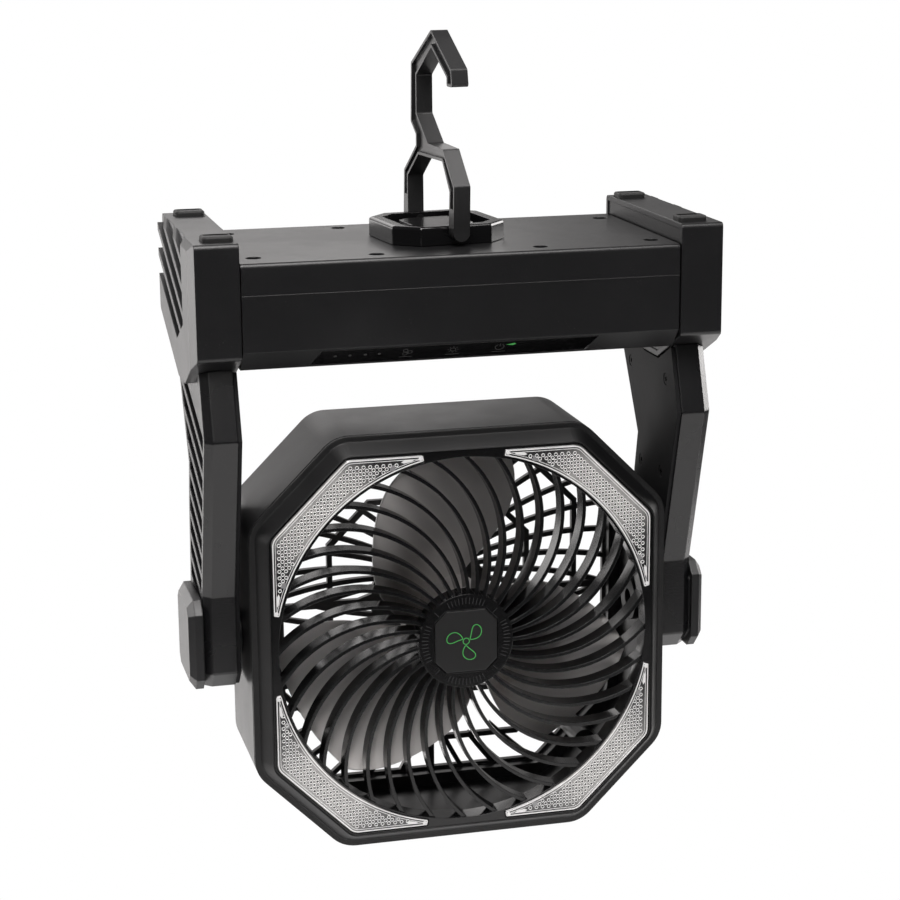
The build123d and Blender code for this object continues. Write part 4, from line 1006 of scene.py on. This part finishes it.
class FAN_OT_panel_marks(Operator):
    """Add the indicator dots, the three key signs and the lit mark of the control panel"""

    bl_idname = "fan.panel_marks"
    bl_label = "Control panel marks"

    def execute(self, context):
        marks = context.scene.fan_marks
        outer = [v.co for v in nodes["control_panel"].data.vertices]
        face = max(point.dot(PANEL_OUT) for point in outer)
        middle = (panel_low + panel_high) / 2
        origin = middle + PANEL_OUT * (face - middle.dot(PANEL_OUT))
        origin.x = head_middle.x
        self.add_dots(origin)
        self.add_signs(origin, marks)
        self.add_lit_mark(origin)
        return {"FINISHED"}

    def add_shape(self, mesh, outline, origin):
        """A filled printed shape on the panel's face."""
        corners = [origin + HEAD_ACROSS * across + PANEL_UP * up for across, up in outline]
        raise_outline(mesh, corners, PANEL_OUT, PRINT_HEIGHT * MM)

    def add_dots(self, origin):
        """Four charge indicators in a row."""
        mesh = bmesh.new()
        for place in INDICATOR_PLACES:
            rim = ring_points(INDICATOR_RADIUS * MM, 18, (place * MM, INDICATOR_UP * MM))
            self.add_shape(mesh, rim, origin)
        add_piece("charge_indicators", mesh, "base", "sign_pale", "black_gloss")

    def add_signs(self, origin, marks):
        """Signs of a fan, a lamp and a switch over the three keys, each with a short bar."""
        mesh = bmesh.new()
        width = marks.line_width
        size = KEY_SIZE * MM

        def line(points, closed=False):
            raise_line(mesh, points, width, HEAD_ACROSS, PANEL_UP, origin, PRINT_HEIGHT * MM, closed)

        def fan_sign(x, y):
            for blade in range(3):
                turn = blade * FAN_BLADE_TURN
                middle = (x + size * FAN_BLADE_OUT * cos(turn), y + size * FAN_BLADE_OUT * sin(turn))
                line(ring_points(size * FAN_BLADE_RADIUS, 14, middle), closed=True)

        def lamp_sign(x, y):
            line(ring_points(size * LAMP_RADIUS, 18, (x, y)), closed=True)
            for ray in range(8):
                turn = ray * pi / 4
                line([(x + size * r * cos(turn), y + size * r * sin(turn)) for r in LAMP_RAYS])

        def switch_sign(x, y):
            line(ring_points(size * SWITCH_RADIUS, 20, (x, y), SWITCH_START, SWITCH_SWEEP))
            line([(x, y + size * r) for r in SWITCH_BAR])

        for place, draw in zip(KEY_PLACES, (fan_sign, lamp_sign, switch_sign)):
            x, y = place * MM, KEY_UP * MM
            draw(x, y)
            below = y - KEY_BAR_DROP * MM
            line([(x - KEY_BAR_HALF * MM, below), (x + KEY_BAR_HALF * MM, below)])
        add_piece("key_signs", mesh, "base", "sign_pale", "black_gloss")

    def add_lit_mark(self, origin):
        """The small green light beside the last key."""
        mesh = bmesh.new()
        x, y = (place * MM for place in LIT_PLACE)
        self.add_shape(mesh, [(x + u * MM, y + v * MM) for u, v in LIT_OUTLINE], origin)
        # Its green shines with a painted glow.
        add_piece("lit_mark", mesh, "base", "sign_green", "black_gloss")


def head_spots(node, axis, sign):
    """The middles of a group of screw heads and the height of their faces along an axis."""
    mesh = welded(node)
    seen = set()
    spots = []
    for first in mesh.verts:
        if first in seen:
            continue
        seen.add(first)
        stack = [first]
        group = []
        while stack:
            vertex = stack.pop()
            group.append(vertex.co.copy())
            for edge in vertex.link_edges:
                other = edge.other_vert(vertex)
                if other not in seen:
                    seen.add(other)
                    stack.append(other)
        face = max(point[axis] * sign for point in group) * sign
        low = [min(point[i] for point in group) for i in range(3)]
        high = [max(point[i] for point in group) for i in range(3)]
        middle = Vector([(a + b) / 2 for a, b in zip(low, high)])
        middle[axis] = face
        spots.append(middle)
    mesh.free()
    return spots


# Screws whose drives show as dark crosses of painted shade: body, axis and side that the heads face,
# and the drive's reach in mm.
SCREW_DRIVES = (
    ("base_screws", "base", 2, 1, 1.5),
    ("head_screws", "head", 1, 1, 1.5),
    ("motor_screws", "head", 1, 1, 1.5),
    ("left_arm_screws", "base", 0, 1, 1.3),
    ("right_arm_screws", "base", 0, -1, 1.3),
)

DRIVE_HALF = 0.42     # half width of a drive's arm at its root, in mm
DRIVE_TAPER = 0.7     # how much narrower the arm is at its end

# Each screw stops at a turn of its own, which comes from its place.
DRIVE_TURNS = (7.1, 3.7, 5.3)
DRIVE_SPIN = 40


class FAN_OT_screw_drives(Operator):
    """Add the cross drives of the screws that show, as dark crosses of painted shade"""

    bl_idname = "fan.screw_drives"
    bl_label = "Screw drives"

    def execute(self, context):
        for name, body, axis, sign, reach in SCREW_DRIVES:
            mesh = bmesh.new()
            out = Vector((0, 0, 0))
            out[axis] = sign
            across = Vector((0, 1, 0)) if axis == 0 else Vector((1, 0, 0))
            up = out.cross(across)
            for spot in head_spots(nodes[name], axis, sign):
                turn = sum(value * share for value, share in zip(spot, DRIVE_TURNS)) * DRIVE_SPIN
                corners = self.cross(reach * MM, DRIVE_HALF * MM, turn)
                shape = [spot + across * u + up * v for u, v in corners]
                # Each drive is a flat dark cross: painted shade where the recess is.
                raise_outline(mesh, shape, out, RECESS_HEIGHT * MM)
            add_piece(name + "_drives", mesh, body, "recess_shade", "black_screw")
        return {"FINISHED"}

    def cross(self, reach, half, turn):
        """The twelve corners of a cross."""
        corners = []
        for quarter in range(4):
            angle = quarter * pi / 2 + turn
            for u, v in ((half, -half), (reach, -half * DRIVE_TAPER), (reach, half * DRIVE_TAPER)):
                corners.append((u * cos(angle) - v * sin(angle), u * sin(angle) + v * cos(angle)))
        return corners


LIGHT_COLOUR = (1.0, 0.975, 0.965)

# The floor's darkest and lightest patches, in parts of the backdrop's colour.
FLOOR_TONES = (0.9, 0.93)

# Rings of the floor, in half sizes: over the first it turns to the backdrop's white, from a part
# that is white already, and over the second it stops being mirrored as white.
WHITE_RING = (0.25, 0.5)
WHITE_NEAR = 0.6
MIRROR_RING = (0.55, 0.85)

# Where the world's light rises from low to high, and from the front to behind the fan.
LOW_TO_HIGH = (-0.2, 0.15)
FRONT_TO_BACK = (0.45, 0.88)

# Soft boxes: what each looks at, its place from there, width and height in metres, power in watts.
neck = head_middle + Vector((0, 0, 0.1))
SOFT_BOXES = (
    ("lamp_above", neck, (-0.25, -0.95, 1.65), 1.3, 0.9, 28.0),
    ("lamp_zenith", neck, (0.05, -0.5, 1.85), 1.5, 0.9, 24.0),
    ("lamp_front", head_middle, (-0.45, -1.2, 1.0), 0.7, 0.7, 8.0),
    ("lamp_left", head_middle, (-1.32, 0.6, 0.42), 0.8, 0.9, 8.0),
    ("lamp_right", head_middle, (1.32, 0.6, 0.42), 0.8, 0.9, 16.0),
    ("lamp_low", Vector((-0.66, 0.0, -0.4)), (0.0, 1.0, 0.0), 0.64, 0.75, 3.0),
    ("lamp_behind", Vector((-0.35, 0.3, 0.68)), (0.0, 1.0, 0.0), 1.5, 0.9, 7.5),
)


def show_by(tree, share, first, second, end):
    """Send one shader to the output where the share is 0, and the other where it is 1."""
    mixed = tree.nodes.new("ShaderNodeMixShader")
    tree.links.new(share, mixed.inputs["Fac"])
    tree.links.new(first, mixed.inputs[1])
    tree.links.new(second, mixed.inputs[2])
    tree.links.new(mixed.outputs["Shader"], end.inputs["Surface"])


class FAN_OT_studio(Operator):
    """Set the camera, the pale floor and the soft lamps"""

    bl_idname = "fan.studio"
    bl_label = "Studio"

    def execute(self, context):
        settings = context.scene.fan_studio
        self.add_camera(context, settings)
        self.add_floor(settings)
        self.add_world(context, settings)
        for name, aim, offset, width, height, power in SOFT_BOXES:
            self.add_lamp(name, aim + Vector(offset), aim, width, height, power)
        context.scene.view_settings.view_transform = "Standard"
        return {"FINISHED"}

    def add_camera(self, context, settings):
        """The camera, turned by its heading, tilt and roll."""
        data = bpy.data.cameras.new("camera")
        data.lens = settings.focal_length
        data.clip_start = 0.02
        data.clip_end = 60.0
        camera = link("camera", data)
        heading, tilt, roll = settings.heading, settings.tilt, settings.roll
        ahead = Vector((sin(heading) * cos(tilt), cos(heading) * cos(tilt), -sin(tilt)))
        right = ahead.cross(UP).normalized()
        up = right.cross(ahead)
        turned_right = right * cos(roll) + up * sin(roll)
        turned_up = up * cos(roll) - right * sin(roll)
        turn = Matrix((turned_right, turned_up, -ahead)).transposed().to_4x4()
        camera.matrix_world = Matrix.Translation(settings.camera_place) @ turn
        context.scene.camera = camera

    def add_floor(self, settings):
        """A wide pale floor that shows as the backdrop's white."""
        depth = cad_box[0][2] - settings.floor_drop
        mesh = bmesh.new()
        half = settings.floor_size / 2
        corners = [(-half, -half), (half, -half), (half, half), (-half, half)]
        mesh.faces.new([mesh.verts.new((x, y, depth)) for x, y in corners])
        data = bpy.data.meshes.new("floor")
        mesh.to_mesh(data)
        mesh.free()
        self.make_floor_finish(settings)
        data.materials.append(bpy.data.materials["pale_floor"])
        link("floor", data)

    def make_floor_finish(self, settings):
        """A pale matt floor that keeps the fan's shadow and fades to the backdrop's white."""
        tree, shader, place = new_material("pale_floor")
        shader.inputs["Roughness"].default_value = 0.9
        darker, lighter = ([channel * tone for channel in settings.backdrop] for tone in FLOOR_TONES)
        cloudy = mix_colour(tree, noise(tree, place, FLOOR_WAVES), darker, lighter)
        tree.links.new(cloudy, shader.inputs["Base Color"])
        shown = tree.nodes.new("ShaderNodeEmission")
        shown.inputs["Color"].default_value = (*settings.backdrop, 1.0)
        length = tree.nodes.new("ShaderNodeVectorMath")
        length.operation = "LENGTH"
        tree.links.new(place, length.inputs[0])
        away = length.outputs["Value"]
        half = settings.floor_size / 2
        far = ramp(tree, away, half * WHITE_RING[0], half * WHITE_RING[1], WHITE_NEAR, 1.0)
        near = ramp(tree, away, half * MIRROR_RING[0], half * MIRROR_RING[1], 1.0, 0.0)
        path = tree.nodes.new("ShaderNodeLightPath")
        seen = math_node(tree, "MULTIPLY", path.outputs["Is Camera Ray"], far)
        mirrored = math_node(tree, "MULTIPLY", path.outputs["Is Glossy Ray"], near)
        white = math_node(tree, "MAXIMUM", seen, mirrored)
        end = tree.nodes["Material Output"]
        show_by(tree, white, shader.outputs["BSDF"], shown.outputs["Emission"], end)

    def add_world(self, context, settings):
        """Soft light, strongest high behind the fan and weakest in front, and white where seen."""
        world = bpy.data.worlds.new("world")
        world.use_nodes = True
        tree = world.node_tree
        tree.nodes.clear()
        end = tree.nodes.new("ShaderNodeOutputWorld")
        way = tree.nodes.new("ShaderNodeSeparateXYZ")
        place = tree.nodes.new("ShaderNodeTexCoord").outputs["Generated"]
        tree.links.new(place, way.inputs["Vector"])
        height = ramp(tree, way.outputs["Z"], *LOW_TO_HIGH, settings.back_light, settings.sky_light)
        behind = ramp(tree, way.outputs["Y"], *FRONT_TO_BACK)
        above_front = math_node(tree, "SUBTRACT", height, settings.front_light)
        added = math_node(tree, "MULTIPLY", behind, above_front)
        light = tree.nodes.new("ShaderNodeBackground")
        light.inputs["Color"].default_value = (*LIGHT_COLOUR, 1.0)
        tree.links.new(math_node(tree, "ADD", added, settings.front_light), light.inputs["Strength"])
        shown = tree.nodes.new("ShaderNodeBackground")
        shown.inputs["Color"].default_value = (*settings.backdrop, 1.0)
        path = tree.nodes.new("ShaderNodeLightPath")
        straight, through = path.outputs["Is Camera Ray"], path.outputs["Is Transmission Ray"]
        seen = math_node(tree, "MAXIMUM", straight, through)
        show_by(tree, seen, light.outputs["Background"], shown.outputs["Background"], end)
        context.scene.world = world

    def add_lamp(self, name, place, aim, width, height, power):
        """One rectangular soft box that looks at a point and isn't seen itself."""
        data = bpy.data.lights.new(name, "AREA")
        data.shape = "RECTANGLE"
        data.size = width
        data.size_y = height
        data.energy = power
        data.color = LIGHT_COLOUR
        lamp = link(name, data)
        lamp.visible_camera = False
        turn = (aim - place).to_track_quat("-Z", "Y").to_matrix().to_4x4()
        lamp.matrix_world = Matrix.Translation(place) @ turn


class FAN_PT_finish(Panel):
    """Lists the fan's steps and their settings"""

    bl_idname = "FAN_PT_finish"
    bl_label = "Camping Fan"
    bl_space_type = "VIEW_3D"
    bl_region_type = "UI"
    bl_category = "Camping Fan"

    def draw(self, context):
        column = self.layout.column()
        for operator in STEPS:
            column.operator(operator.bl_idname)
        for name, group in SETTINGS.items():
            settings = getattr(context.scene, name)
            for label in group.__annotations__:
                column.prop(settings, label)


SETTINGS = {
    "fan_studio": StudioSettings,
    "fan_plastic": PlasticSettings,
    "fan_lens": LensSettings,
    "fan_marks": MarkSettings,
}
STEPS = (
    FAN_OT_shells,
    FAN_OT_lenses,
    FAN_OT_foot_recesses,
    FAN_OT_hub_marks,
    FAN_OT_panel_marks,
    FAN_OT_screw_drives,
    FAN_OT_studio,
)


def register():
    """Register the classes and hang the settings on the scene."""
    for group in (*SETTINGS.values(), *STEPS, FAN_PT_finish):
        bpy.utils.register_class(group)
    for name, group in SETTINGS.items():
        setattr(bpy.types.Scene, name, PointerProperty(type=group))


def unregister():
    """Take the settings and the classes away again."""
    for name in SETTINGS:
        delattr(bpy.types.Scene, name)
    for group in reversed((*SETTINGS.values(), *STEPS, FAN_PT_finish)):
        bpy.utils.unregister_class(group)


def main():
    """Register the settings and run every step in order."""
    register()
    bpy.ops.fan.shells()
    bpy.ops.fan.lenses()
    bpy.ops.fan.foot_recesses()
    bpy.ops.fan.hub_marks()
    bpy.ops.fan.panel_marks()
    bpy.ops.fan.screw_drives()
    bpy.ops.fan.studio()


if __name__ == "__main__":
    main()
